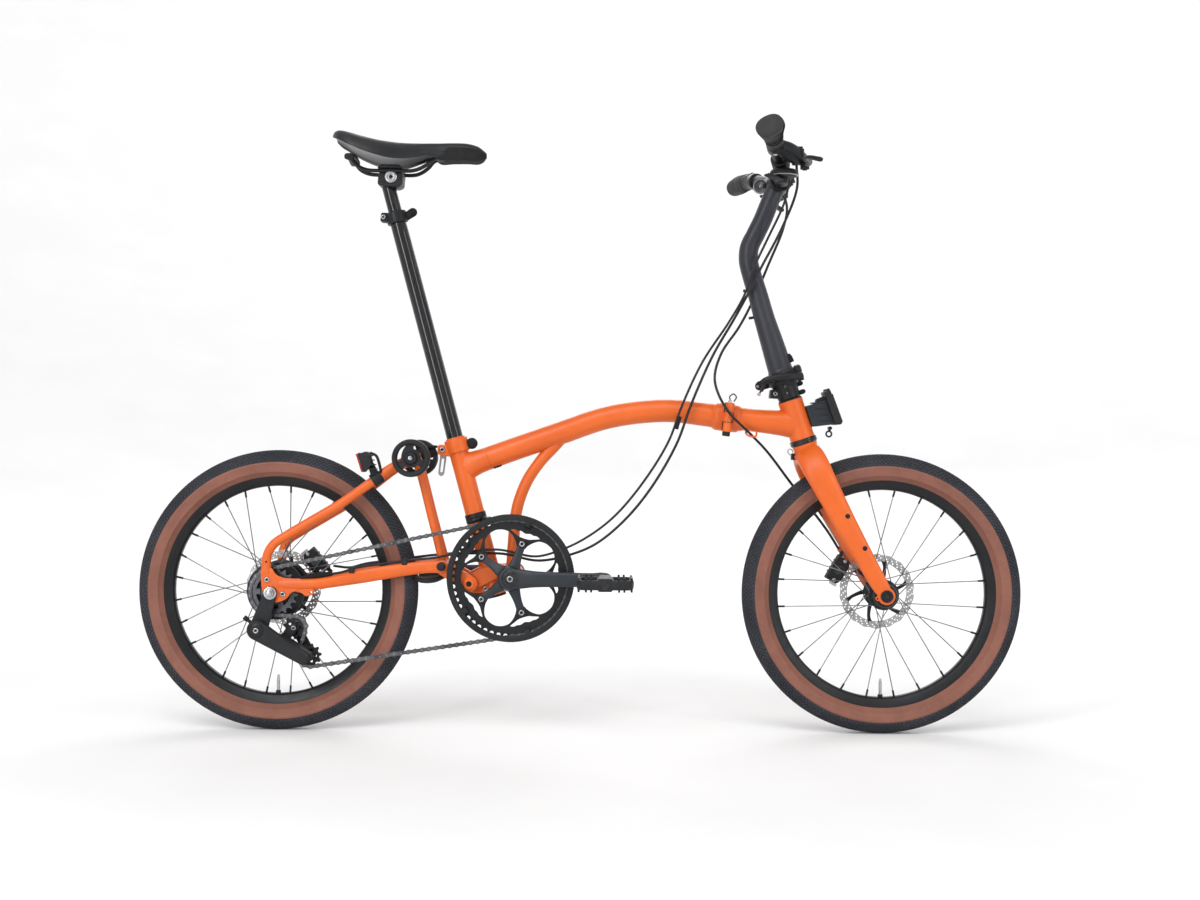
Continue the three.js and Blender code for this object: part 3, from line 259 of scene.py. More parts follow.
def saddle_cover():
    """Matt synthetic leather: fine pebbled grain and a little sheen."""
    made = Surface("saddle_cover", 0.5)
    made.colour((0.0085, 0.0088, 0.0105), (0.0125, 0.013, 0.0155),
                made.spread(made.noise(18.0, 4.0), 0.0, 1.0))
    made.roughness(0.40, 0.52, 60)
    made.shader.inputs["Specular IOR Level"].default_value = 0.35
    cells = made.node("ShaderNodeTexVoronoi", Vector=made.coords, Scale=850.0).outputs["Distance"]
    made.bump(cells, 0.22, 0.0003)
    made.shader.inputs["Sheen Weight"].default_value = 0.03
    return made.material


def red_lens():
    """Red reflector plate with small prism cells."""
    made = Surface("red_lens", 0.18)
    cells = made.node("ShaderNodeTexVoronoi", Vector=made.coords, Scale=420.0).outputs["Distance"]
    made.colour((0.55, 0.012, 0.010), (0.3, 0.006, 0.006), cells)
    made.bump(cells, 0.6, 0.0006)
    made.shader.inputs["Coat Weight"].default_value = 0.6
    return made.material


FRONT_SIDEWALL = sidewall("front_sidewall", FRONT_AXLE)
REAR_SIDEWALL = sidewall("rear_sidewall", REAR_AXLE)
GRIP = grip_rubber()
COVER = saddle_cover()
RED = red_lens()

# ---- outlines: lists of (a, b) corners, anticlockwise ----------------------------------


def arc(x, z, radius, start, end, count):
    angles = [math.radians(start + (end - start) * i / count) for i in range(count + 1)]
    return [(x + radius * math.cos(a), z + radius * math.sin(a)) for a in angles]


def circle(x, z, radius, count=48):
    return arc(x, z, radius, 0, 360 * (count - 1) / count, count - 1)


def link(ax, az, ar, bx, bz, br, count=16):
    """The outline round two bosses and the straight web between them."""
    heading = math.degrees(math.atan2(bz - az, bx - ax))
    spread = math.degrees(math.acos((ar - br) / math.hypot(bx - ax, bz - az)))
    back = arc(ax, az, ar, heading + spread, heading + 360 - spread, count)
    return back + arc(bx, bz, br, heading - spread, heading + spread, count)


def soften(corners, radius, count=4, closed=True):
    """Rounds each corner of an outline or profile with a short curve."""
    points = [Vector(c) for c in corners]
    out = []
    for i, point in enumerate(points):
        if not closed and i in (0, len(points) - 1):
            out.append(tuple(point))
            continue
        before, after = points[i - 1] - point, points[(i + 1) % len(points)] - point
        reach = min(radius, 0.45 * before.length, 0.45 * after.length)
        start, end = point + before.normalized() * reach, point + after.normalized() * reach
        for k in range(count + 1):
            t = k / count
            out.append(tuple(start * (1 - t) ** 2 + point * 2 * t * (1 - t) + end * t * t))
    return out


def turn_way(corners):
    return sum(a[0] * b[1] - b[0] * a[1] for a, b in zip(corners, corners[1:] + corners[:1]))


def inset(corners, distance):
    """The outline moved to its left, which is into the material."""
    out = []
    for i, point in enumerate(corners):
        a = (Vector(point) - Vector(corners[i - 1])).normalized()
        b = (Vector(corners[(i + 1) % len(corners)]) - Vector(point)).normalized()
        normals = Vector((-a.y, a.x)), Vector((-b.y, b.x))
        middle = normals[0] + normals[1]
        out.append(tuple(Vector(point) + middle * (distance / max(0.5, 1 + normals[0].dot(normals[1])))))
    return out


def smooth(points, steps):
    """A centripetal Catmull-Rom curve through points of any number of values."""
    p = [Vector(v) for v in points]
    p = [p[0] * 2 - p[1], *p, p[-1] * 2 - p[-2]]
    out = []
    for i in range(1, len(p) - 2):
        a, b, c, d = p[i - 1 : i + 3]
        knots = [0.0]
        for u, v in ((a, b), (b, c), (c, d)):
            knots.append(knots[-1] + max((v - u).length, 1e-6) ** 0.5)
        t0, t1, t2, t3 = knots
        for k in range(steps):
            t = t1 + (t2 - t1) * k / steps
            ab = (a * (t1 - t) + b * (t - t0)) / (t1 - t0)
            bc = (b * (t2 - t) + c * (t - t1)) / (t2 - t1)
            cd = (c * (t3 - t) + d * (t - t2)) / (t3 - t2)
            abc = (ab * (t2 - t) + bc * (t - t0)) / (t2 - t0)
            bcd = (bc * (t3 - t) + cd * (t - t1)) / (t3 - t1)
            out.append((abc * (t2 - t) + bcd * (t - t1)) / (t2 - t1))
    out.append(p[-2])
    return out


# ---- pieces ---------------------------------------------------------------------------


class Piece:
    """Gathers solids, in millimetres, into one mesh that rides on a CAD body."""

    def __init__(self, name, body, slot, *nodes):
        self.name, self.body, self.slot, self.nodes = name, body, slot, nodes
        self.verts, self.faces, self.indices, self.materials = [], [], [], []
        self.place = NO_MOVE

    def add(self, verts, faces, material):
        if material not in self.materials:
            self.materials.append(material)
        base = len(self.verts)
        self.verts += [self.place @ Vector(v) for v in verts]
        self.faces += [[base + i for i in face] for face in faces]
        self.indices += [self.materials.index(material)] * len(faces)

    def loft(self, rings, material, capped=True):
        """A skin over rings of equal numbers of points."""
        count = len(rings[0])
        faces = [(r * count + i, r * count + (i + 1) % count, (r + 1) * count + (i + 1) % count,
                  (r + 1) * count + i) for r in range(len(rings) - 1) for i in range(count)]
        if capped:
            faces += [list(range(count))[::-1], [(len(rings) - 1) * count + i for i in range(count)]]
        self.add([v for ring in rings for v in ring], faces, material)

    def tube(self, points, radii, material, across=None, sides=28, steps=8, square=2.0, edge=0.7):
        """A bar along a curve. Each radius is one number or (sideways, in-plane). Square 2 is
        an ellipse and higher is boxier. Edge rounds off both ends; "dome" makes them round."""
        sizes = radii if isinstance(radii, list) else [radii] * len(points)
        sizes = [r if isinstance(r, tuple) else (r, r) for r in sizes]
        rows = smooth([(*p, *s) for p, s in zip(points, sizes)], steps)
        spots = [Vector(r[:3]) for r in rows]
        section = []
        for i in range(sides):
            c, s = math.cos(TAU * i / sides), math.sin(TAU * i / sides)
            section.append([math.copysign(abs(v) ** (2 / square), v) for v in (c, s)])
        rings = []
        side = None
        for i, (spot, row) in enumerate(zip(spots, rows)):
            tangent = (spots[min(i + 1, len(spots) - 1)] - spots[max(i - 1, 0)]).normalized()
            if across is not None:
                side = Vector(across)
            elif side is None:
                side = tangent.orthogonal()
            side = (side - tangent * side.dot(tangent)).normalized()
            rise = side.cross(tangent)
            rings.append((spot, tangent, side, rise, row[3], row[4]))
        rings = [*reversed(self.round_off(rings[0], -1, edge)), *rings, *self.round_off(rings[-1], 1, edge)]
        self.loft([[o + s * (a * u) + r * (b * v) for u, v in section] for o, _, s, r, a, b in rings],
                  material)

    @staticmethod
    def round_off(ring, way, edge):
        spot, tangent, side, rise, a, b = ring
        depth = min(a, b) if edge == "dome" else min(edge, 0.6 * min(a, b))
        out = []
        for k in (1, 2, 3):
            turn = math.radians(29.5 * k)
            shrink = depth * (1 - math.cos(turn))
            out.append((spot + tangent * (way * depth * math.sin(turn)), tangent, side, rise, a - shrink,
                        b - shrink))
        return out

    def rod(self, a, b, radius, material, end_radius=None, edge=0.7, sides=32):
        radii = [radius, radius if end_radius is None else end_radius]
        self.tube([a, b], radii, material, sides=sides, steps=1, edge=edge)

    def cross(self, x, z, y0, y1, radius, material, edge=0.7, sides=32):
        self.rod((x, y0, z), (x, y1, z), radius, material, edge=edge, sides=sides)

    def turned(self, profile, material, centre=(0, 0, 0), sides=64, corner=0.6, closed=True):
        """A shape turned about the y axis from a profile of (radius, y) corners."""
        shape = soften(profile, corner, 3, closed) if corner else profile
        centre = Vector(centre)
        rings = [[centre + Vector((r * math.cos(TAU * i / sides), y, r * math.sin(TAU * i / sides)))
                  for i in range(sides)] for r, y in shape]
        self.loft(rings + [rings[0]] if closed else rings, material, not closed)

    def plate(self, outer, y0, y1, material, holes=(), edge=0.6):
        """A plate whose outline is in the side view, with rounded rims and any holes."""
        loops = [outer if turn_way(outer) > 0 else outer[::-1]]
        loops += [hole if turn_way(hole) < 0 else hole[::-1] for hole in holes]
        y0, y1 = sorted((y0, y1))
        edge = min(edge, 0.45 * (y1 - y0))
        levels = [(edge, y0), (0.29 * edge, y0 + 0.29 * edge), (0, y0 + edge)]
        levels += [(0, y1 - edge), (0.29 * edge, y1 - 0.29 * edge), (edge, y1)]
        ends = []
        for loop in loops:
            rings = [[(x, y, z) for x, z in inset(loop, move)] for move, y in levels]
            self.loft(rings, material, capped=False)
            ends.append((rings[0], rings[-1]))
        for which in (0, 1):
            faces = tessellate_polygon([[(x, z, 0) for x, _, z in pair[which]] for pair in ends])
            self.add([v for pair in ends for v in pair[which]], faces, material)

    def block(self, low, high, material, corner=1.5):
        (x0, y0, z0), (x1, y1, z1) = low, high
        self.plate(soften([(x0, z0), (x1, z0), (x1, z1), (x0, z1)], corner, 3), y0, y1, material,
                   edge=corner * 0.7)

    def bolt(self, x, z, y, side, radius, height, material=None, ring=None):
        """A button head with a hexagon socket, standing out to one side."""
        dome = [(radius, 0), (radius, 0.35 * height), (0.78 * radius, height), (0.5 * radius, height)]
        dome += [(0.5 * radius, 0.3 * height), (0.01, 0.3 * height)]
        profile = [(r, y + side * h) for r, h in dome]
        self.turned(profile, material or STEEL, (x, 0, z), sides=24, corner=0.25 * radius, closed=False)
        socket = circle(x, z, 0.46 * radius, 6)
        self.plate(socket, y, y + side * 0.42 * height, SATIN, edge=0.05)
        if ring:
            self.turned([(radius, y - side), (ring, y - side), (ring, y + side * 0.8),
                         (radius, y + side * 0.8)], SATIN, (x, 0, z), sides=32, corner=0.3)

    def make(self, sharp=40.0):
        mesh = bpy.data.meshes.new(self.name)
        mesh.from_pydata([v * MM for v in self.verts], [], self.faces)
        for material in self.materials:
            mesh.materials.append(material)
        mesh.polygons.foreach_set("material_index", self.indices)
        work = bmesh.new()
        work.from_mesh(mesh)
        bmesh.ops.recalc_face_normals(work, faces=work.faces)
        work.to_mesh(mesh)
        work.free()
        mesh.polygons.foreach_set("use_smooth", [True] * len(mesh.polygons))
        mesh.set_sharp_from_angle(angle=math.radians(sharp))
        made = bpy.data.objects.new(self.name, mesh)
        bpy.context.scene.collection.objects.link(made)
        if self.nodes:
            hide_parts(*self.nodes)
        if self.body:
            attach(made, self.body)
        return made


def finish_of(node, body, slot):
    """The finished piece that replaces one CAD node."""
    return Piece(node + "_finish", body, slot, node)


def sides():
    """The rider's right, then the left."""
    return (-1, 1)


def sided(profile, side):
    """A turned profile written for the left, put on one side."""
    return [(r, side * y) for r, y in profile]


def mirrored(route, side):
    """Points of a route written for the left, put on one side."""
    return [(x, side * y, z) for x, y, z in route]


def studs(piece, count, reach, y0, y1, radius, material, edge, sides, centre=(0, 0)):
    """Small rods lying across, spaced round a circle."""
    for i in range(count):
        angle = TAU * i / count
        x, z = centre[0] + reach * math.cos(angle), centre[1] + reach * math.sin(angle)
        piece.cross(x, z, y0, y1, radius, material, edge=edge, sides=sides)


# ---- wheels ---------------------------------------------------------------------------

SECTION_RADIUS = 27.0
SECTION_CENTRE = TYRE_RADIUS - SECTION_RADIUS
KNOB_HEIGHT = 1.7
KNOBS_ROUND = 206
KNOB_ROWS = 15
TREAD_EDGE = 78.0
KNOB_EDGE = 70.0
TYRE_STEPS = 240
BEAD_RADIUS = RIM_RADIUS - 3
# Section angle and lift of each ring of a sidewall; the two lifted rings are raised lines.
SIDEWALL = [(78, 0), (85, 0.9), (92, 0), (100, 0), (109, 0), (118, 1.3), (127, 0), (134, 0)]
RIM_INNER = RIM_RADIUS - 19
ROTOR_Y = 41.0
ROTOR_RADIUS = 70.0


def on_tyre(section, round_angle, lift=0.0):
    """A point on the tyre: section angle from the tread's middle, and angle round the axle."""
    reach = SECTION_CENTRE + (SECTION_RADIUS - KNOB_HEIGHT + lift) * math.cos(section)
    y = (SECTION_RADIUS - KNOB_HEIGHT + lift) * math.sin(section)
    return Vector((reach * math.cos(round_angle), y, reach * math.sin(round_angle)))


def tyre(name, body, centre, wall):
    piece = finish_of(name, body, "tyre")
    piece.place = Matrix.Translation(centre)
    turns = [TAU * k / TYRE_STEPS for k in range(TYRE_STEPS)]
    limit = math.radians(TREAD_EDGE)
    tread = [[on_tyre(limit * (i / 9 - 1), turn) for turn in turns] for i in range(19)]
    piece.loft(tread, TREAD, capped=False)
    for side in sides():
        rings = [[on_tyre(side * math.radians(a), turn, lift) for turn in turns] for a, lift in SIDEWALL]
        rings.append([Vector((BEAD_RADIUS * math.cos(turn), side * 13, BEAD_RADIUS * math.sin(turn)))
                      for turn in turns])
        piece.loft(rings, wall, capped=False)
    half_step = 0.5 * TAU / KNOBS_ROUND
    reach = math.radians(KNOB_EDGE)
    row_step = 2 * reach / (KNOB_ROWS - 1)
    for row in range(KNOB_ROWS):
        section = -reach + row * row_step
        for k in range(KNOBS_ROUND):
            middle = TAU * k / KNOBS_ROUND + (row % 2) * half_step
            corners = []
            for lift, size in ((-0.3, 0.94), (KNOB_HEIGHT, 0.66)):
                for a, b in ((1, 0), (0.25, 0.8), (-0.25, 0.8), (-1, 0), (-0.25, -0.8), (0.25, -0.8)):
                    corners.append(on_tyre(section + a * size * row_step * 0.9,
                                           middle + b * size * half_step, lift))
            walls = [(i, (i + 1) % 6, (i + 1) % 6 + 6, i + 6) for i in range(6)]
            piece.add(corners, [*walls, range(6, 12)], TREAD)
    return piece.make(30)


def rim(name, body, centre):
    piece = finish_of(name, body, "gloss_black")
    piece.place = Matrix.Translation(centre)
    inner, flange = RIM_INNER, RIM_RADIUS + 0.5
    profile = [(inner, -5), (inner + 3, -9.6), (RIM_RADIUS - 3, -14.6), (flange, -15.2), (flange, -12.6),
               (RIM_RADIUS - 7, -10.5), (RIM_RADIUS - 8, 10.5), (flange, 12.6), (flange, 15.2),
               (RIM_RADIUS - 3, 14.6), (inner + 3, 9.6), (inner, 5)]
    piece.turned(profile, RIM_BLACK, sides=192, corner=1.6)
    for low, high, radius, material in ((inner + 2, inner - 4, 4.6, SATIN),
                                        (inner - 3, inner - 27, 2.9, STEEL),
                                        (inner - 27, inner - 33, 2.1, STEEL)):
        piece.rod((0, 0, -low), (0, 0, -high), radius, material, edge=0.5, sides=20)
    return piece.make()


def spokes(piece, count, flange, flange_y, lean):
    """Crossed spokes between the flanges and the rim, with their nipples at the rim."""
    for i in range(count):
        side = -1 if i % 2 == 0 else 1
        cross = 1 if (i // 2) % 2 == 0 else -1
        rim_angle = TAU * (i + 0.5) / count
        hub_angle = rim_angle + lean * cross
        flange_at = side * (flange_y + 1.6 * cross)
        a = Vector((flange * math.cos(hub_angle), flange_at, flange * math.sin(hub_angle)))
        b = Vector((RIM_INNER * math.cos(rim_angle), side * 3.0, RIM_INNER * math.sin(rim_angle)))
        way = (b - a).normalized()
        piece.rod(a, b, 0.95, SPOKE_STEEL, edge=0.2, sides=8)
        piece.rod(b - way * 11, b + way * 2, 1.9, SATIN, edge=0.5, sides=10)
        piece.rod(a + Vector((0, side * 1.6, 0)), a - Vector((0, side * 3.0, 0)), 1.7, STEEL, edge=0.5,
                  sides=8)


def front_hub():
    piece = finish_of("front_hub", "front_wheel", "satin_black")
    piece.place = Matrix.Translation(FRONT_AXLE)
    shell = [(7, -49.5), (20, -49.5), (21.5, -44), (21.5, -38), (27, -31), (28, -30), (28, -26), (17, -20),
             (15, -12), (15, 12), (17, 20), (28, 26), (28, 30), (17, 38), (14, 40), (13.5, 49.5), (7, 49.5)]
    piece.turned(shell, SATIN, sides=96, corner=1.5)
    studs(piece, 12, 18.2, -50.3, -48, 1.5, PLASTIC, 0.4, 10)
    spokes(piece, 24, 25.5, 28, 0.72)
    return piece.make()


def rear_hub():
    piece = finish_of("rear_hub", "rear_wheel", "satin_black")
    piece.place = Matrix.Translation(REAR_AXLE)
    shell = [(6, -60), (13, -60), (13.5, -46), (27, -43), (35, -40), (40, -34), (51.5, -31.5), (52.5, -30),
             (52.5, -26), (47, -22), (46, -16), (46, 16), (47, 22), (52.5, 25), (52.5, 29), (40, 33),
             (18, 38.5), (14, 41), (13.5, 60), (6, 60)]
    piece.turned(shell, SATIN, sides=128, corner=1.6)
    for y in (-12, 12):
        piece.turned([(45.4, y - 2), (46.4, y - 2), (46.4, y + 2), (45.4, y + 2)], GLOSS, sides=96)
    spokes(piece, 28, 49.5, 27.5, 0.42)
    return piece.make()


def rotor(name, body, centre):
    """A brake disc: perforated braking ring on a black six-arm carrier, held by six bolts."""
    piece = finish_of(name, body, "steel")
    piece.place = Matrix.Translation(centre)
    y = ROTOR_Y
    outer = []
    for i in range(216):
        angle = TAU * i / 216
        wave = ROTOR_RADIUS - 0.9 * (1 + math.cos(18 * angle))
        outer.append((wave * math.cos(angle), wave * math.sin(angle)))
    holes = [circle(0, 0, 55.5, 96)]
    for k in range(36):
        for row, reach in enumerate((58.8, 62.6, 66.2)):
            angle = TAU * (k + 0.32 * row) / 36
            holes.append(circle(reach * math.cos(angle), reach * math.sin(angle), 1.55, 8))
    piece.plate(outer, y - 0.9, y + 0.9, ROTOR_STEEL, holes, edge=0.15)
    carrier = circle(0, 0, 24, 48)
    piece.plate(carrier, y - 1.6, y + 2.4, SATIN, [circle(0, 0, 14.2, 32)], edge=0.4)
    for i in range(6):
        piece.place = Matrix.Translation(centre) @ Matrix.Rotation(TAU * i / 6, 4, "Y")
        piece.tube([(20, y, 0), (34, y, 4), (48, y, 11), (57, y, 19)],
                   [(4.8, 1.4), (3.6, 1.3), (3.2, 1.2), (4.4, 1.1)], SATIN, across=UPWARD, square=4,
                   sides=16, steps=6, edge=0.3)
        piece.bolt(21.5, 0, y + 2.2, 1, 3.4, 2.0)
        piece.cross(56.5, 18.6, y - 1.9, y + 1.9, 3.0, STEEL, edge=0.5, sides=16)
    return piece.make()


# ---- chain and toothed wheels ------------------------------------------------------------

CHAIN_HALF_HEIGHT = 4.2
SPROCKET_RADIUS = 42.0
SPROCKET_SHRINK = 0.985


def pitch_radius(teeth):
    return CHAIN_PITCH / (2 * math.sin(math.pi / teeth))


CHAIN_WHEELS = [
    (CRANK_AXIS.x, CRANK_AXIS.z, pitch_radius(CHAINRING_TEETH), 1),
    (REAR_AXLE.x, REAR_AXLE.z, SPROCKET_RADIUS, 1),
    (JOCKEY_UPPER.x, JOCKEY_UPPER.z, pitch_radius(JOCKEY_TEETH), -1),
    (JOCKEY_LOWER.x, JOCKEY_LOWER.z, pitch_radius(JOCKEY_TEETH), 1),
]


def chain_path():
    """Fine points along the chain's closed line, from the chainring's bottom run on."""
    count = len(CHAIN_WHEELS)
    headings = []
    for i, (x, z, radius, sense) in enumerate(CHAIN_WHEELS):
        nx, nz, next_radius, next_sense = CHAIN_WHEELS[(i + 1) % count]
        bearing, apart = math.atan2(nz - z, nx - x), math.hypot(nx - x, nz - z)
        headings.append(bearing - math.asin((next_sense * next_radius - sense * radius) / apart))
    points = []
    for i, (x, z, radius, sense) in enumerate(CHAIN_WHEELS):
        start = headings[i - 1]
        turn = (headings[i] - start) % TAU
        turn = turn if sense > 0 else turn - TAU
        steps = max(12, int(abs(turn) * radius / 1.5))
        for k in range(steps + 1):
            heading = start + turn * k / steps
            points.append(Vector((x + sense * radius * math.sin(heading), 0,
                                  z - sense * radius * math.cos(heading))))
    return points


def spaced(points, count):
    """Equally spaced points along a closed line."""
    closed = points + points[:1]
    lengths = [0.0]
    for a, b in zip(closed, closed[1:]):
        lengths.append(lengths[-1] + (b - a).length)
    out, j = [], 0
    for k in range(count):
        want = lengths[-1] * k / count
        while lengths[j + 1] < want:
            j += 1
        share = (want - lengths[j]) / (lengths[j + 1] - lengths[j])
        out.append(closed[j].lerp(closed[j + 1], share))
    return out


def chain_line():
    path = chain_path()
    total = sum((b - a).length for a, b in zip(path, path[1:] + path[:1]))
    return spaced(path, 2 * round(total / CHAIN_PITCH / 2))


def chain_piece(name, first, last, joints, start, end, pins, replaces=()):
    """Links first to last of the chain, in one fixed mesh."""
    piece = Piece(name, None, "chain_steel", *replaces)
    for index in range(first, last):
        a, b = pins[index % len(pins)], pins[(index + 1) % len(pins)]
        middle, way = (a + b) / 2, b - a
        turn = Matrix.Rotation(-math.atan2(way.z, way.x), 4, "Y")
        piece.place = Matrix.Translation(middle + Vector((0, CHAIN_Y, 0))) @ turn
        half = way.length / 2
        outer = index % 2 == 0
        gap = 3.15 if outer else 2.05
        waist = arc(-half, 0, CHAIN_HALF_HEIGHT, 50, 310, 8) + [(0, -2.7)]
        waist += arc(half, 0, CHAIN_HALF_HEIGHT, -130, 130, 8) + [(0, 2.7)]
        for way_y in sides():
            piece.plate(soften(waist, 1.2, 2), way_y * gap, way_y * (gap + 0.95), CHAIN_STEEL, edge=0.2)
        piece.cross(-half, 0, -4.3, 4.3, 1.8, PIN_STEEL, edge=0.4, sides=10)
        piece.cross(-half, 0, -2.0, 2.0, 3.5, CHAIN_STEEL, edge=0.3, sides=12)
    made = piece.make()
    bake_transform(made)


def chain():
    pins = chain_line()
    ids = range(len(pins))

    def nearest(x, z):
        return min(ids, key=lambda i: math.hypot(pins[i].x - x, pins[i].z - z))

    behind = nearest(REAR_AXLE.x - SPROCKET_RADIUS, REAR_AXLE.z)
    jockey = nearest(JOCKEY_UPPER.x - 20, JOCKEY_UPPER.z + 8)
    middle = nearest(-375, 133)
    front = nearest(CRANK_AXIS.x, CRANK_AXIS.z - pitch_radius(CHAINRING_TEETH))
    count = len(pins)

    def run(a, b):
        return a, b if b > a else b + count

    main_rear = ("main_frame", "rear_frame")
    arm_rear = ("rear_frame", "tensioner_arm")
    upper = ((-245, 0, 350), (-450, 0, 318))
    chain_piece("chain_upper_run", *run(front, behind), main_rear, *upper, pins, ("chain",))
    chain_piece("chain_at_sprocket", *run(behind, jockey), arm_rear, (-556, 0, 213), (-526, 0, 206), pins)
    chain_piece("chain_at_jockeys", *run(jockey, middle), arm_rear[::-1], (-470, 0, 121), (-392, 0, 131),
                pins)
    chain_piece("chain_lower_run", *run(middle, front), main_rear[::-1], (-360, 0, 135), (-245, 0, 150),
                pins)


def toothed(teeth, phase=0.0):
    """The outline of a toothed wheel, with its teeth between the chain's rollers."""
    root, tip = pitch_radius(teeth) - 4.0, pitch_radius(teeth) + (1.0 if teeth == JOCKEY_TEETH else 2.6)
    out = []
    for i in range(teeth):
        middle = TAU * (i + 0.5) / teeth + phase
        step = TAU / teeth
        for share, radius in ((-0.5, root), (-0.3, root + 0.9), (-0.2, root + 3.4), (-0.07, tip),
                              (0.07, tip), (0.2, root + 3.4), (0.3, root + 0.9)):
            out.append((radius * math.cos(middle + share * step), radius * math.sin(middle + share * step)))
    return out


def cog_phase(centre, radius):
    """The angle at which a chain pin sits on this wheel."""
    pins = [p for p in chain_line() if abs(math.hypot(p.x - centre.x, p.z - centre.z) - radius) < 0.6]
    return math.atan2(pins[0].z - centre.z, pins[0].x - centre.x) if pins else 0.0


def sprocket():
    piece = finish_of("sprocket", "sprocket", "steel")
    piece.place = Matrix.Translation(REAR_AXLE)
    phase = cog_phase(REAR_AXLE, SPROCKET_RADIUS)
    windows = []
    for i in range(6):
        angle = 60 * i
        windows.append(arc(0, 0, 31, angle + 8, angle + 50, 8) + arc(0, 0, 23.5, angle + 46, angle + 12, 8))
    outline = [(x * SPROCKET_SHRINK, z * SPROCKET_SHRINK) for x, z in toothed(SPROCKET_TEETH, phase)]
    piece.plate(outline, CHAIN_Y - 1.1, CHAIN_Y + 1.1, COG_STEEL, [*windows, circle(0, 0, 14, 32)],
                edge=0.3)
    piece.turned([(14, -53.5), (21, -53.5), (23.5, -51), (23.5, -49), (14, -49)], COG_STEEL, sides=48)
    studs(piece, 9, 18.4, -54.2, -52, 1.3, SATIN, 0.3, 8)
    return piece.make()


def jockey(name, body, centre):
    piece = finish_of(name, body, "black_plastic")
    piece.place = Matrix.Translation(centre)
    phase = cog_phase(centre, pitch_radius(JOCKEY_TEETH))
    windows = [circle(10.6 * math.cos(TAU * i / 5), 10.6 * math.sin(TAU * i / 5), 2.7, 12)
               for i in range(5)]
    piece.plate(toothed(JOCKEY_TEETH, phase), CHAIN_Y - 2.1, CHAIN_Y + 2.1, PLASTIC,
                [*windows, circle(0, 0, 3.8, 16)], edge=0.6)
    piece.turned([(3.8, CHAIN_Y - 4.4), (7, CHAIN_Y - 4.4), (7, CHAIN_Y + 4.4), (3.8, CHAIN_Y + 4.4)],
                 SATIN, sides=24)
    return piece.make()


# One fifth of the chainring's central opening, and of the small opening in each lobe, as
# (degrees from the arm, radius).
LOBE = [(-28, 89), (-20, 84), (-14, 74), (-9.5, 64), (-8, 57.5), (-6.5, 56.5), (6.5, 56.5), (8, 57.5),
        (9.5, 64), (14, 74), (20, 84), (28, 89), (36, 91)]
LOBE_OPENING = [(-19, 87.5), (-13, 81), (-7, 76), (0, 75), (7, 76), (13, 81), (19, 87.5), (14, 88.5),
                (10, 86), (6, 87), (0, 83.5), (-6, 87), (-10, 86), (-14, 88.5)]
GUARD_INNER = 104.3


def round_arm(spots, turn):
    return [(r * math.cos(math.radians(a + turn)), r * math.sin(math.radians(a + turn))) for a, r in spots]


def chainring():
    """One plate with a toothed rim, five lobes that take the bolts, and a plain guard ring."""
    piece = finish_of("chainring", "crank", "satin_black")
    piece.place = Matrix.Translation(CRANK_AXIS)
    phase = cog_phase(CRANK_AXIS, pitch_radius(CHAINRING_TEETH))
    opening, small = [], []
    for i in range(5):
        opening += round_arm(LOBE, 72 * i)
        small.append(soften(round_arm(LOBE_OPENING, 72 * i), 2.5, 3))
    piece.plate(toothed(CHAINRING_TEETH, phase), CHAIN_Y - 1.6, CHAIN_Y + 1.6, SATIN,
                [soften(opening, 5, 3), *small], edge=0.5)
    guard = [(GUARD_INNER, -56.4), (115.2, -56.4), (115.5, -54.4), (112, -52.8), (GUARD_INNER, -53)]
    piece.turned(guard, PLASTIC, sides=160, corner=1.2)
    for i in range(5):
        piece.place = Matrix.Translation(CRANK_AXIS) @ Matrix.Rotation(-TAU * i / 5, 4, "Y")
        piece.tube([(GUARD_INNER + 1, -54.8, 0), (98, -54, 0), (95.5, CHAIN_Y, 0)],
                   [(1.6, 5), (1.8, 5), (1.8, 5)], PLASTIC, across=FORWARD, square=4, sides=16, steps=4)
        piece.plate(circle(65, 0, 8.6, 32), CHAIN_Y - 2.2, CHAIN_Y + 2.2, SATIN, [circle(65, 0, 4, 16)],
                    edge=0.8)
    return piece.make()


# ---- cranks and pedals -----------------------------------------------------------------

CRANK_INNER = 63.0
CRANK_LEAN = 17.0


def crank_arm(piece, side):
    """A forged arm along +x from the spindle, leaning outwards to the pedal eye."""
    y = side * (CRANK_INNER + 6.5)
    stations = [(-10, 0, 12, 7), (0, 0, 18.5, 7.4), (16, 0, 18, 7.4), (45, 0.3, 14.6, 6.8),
                (100, 0.58, 13.2, 6.3), (148, 0.86, 12.8, 6.3), (166, 0.98, 14, 6.8),
                (176, 1.03, 11.5, 6.4)]
    spots = [(x, y + side * lean * CRANK_LEAN, 0) for x, lean, _, _ in stations]
    radii = [(thick, high) for _, _, high, thick in stations]
    piece.tube(spots, radii, CHARCOAL, across=ACROSS, square=3.2, sides=40, steps=8, edge=4.0)
    piece.cross(CRANK_LENGTH, 0, side * 79.5, side * 93.2, 13.2, CHARCOAL, edge=2.0, sides=48)
    piece.cross(CRANK_LENGTH, 0, side * 88, side * 93.8, 9.0, SATIN, edge=0.8)


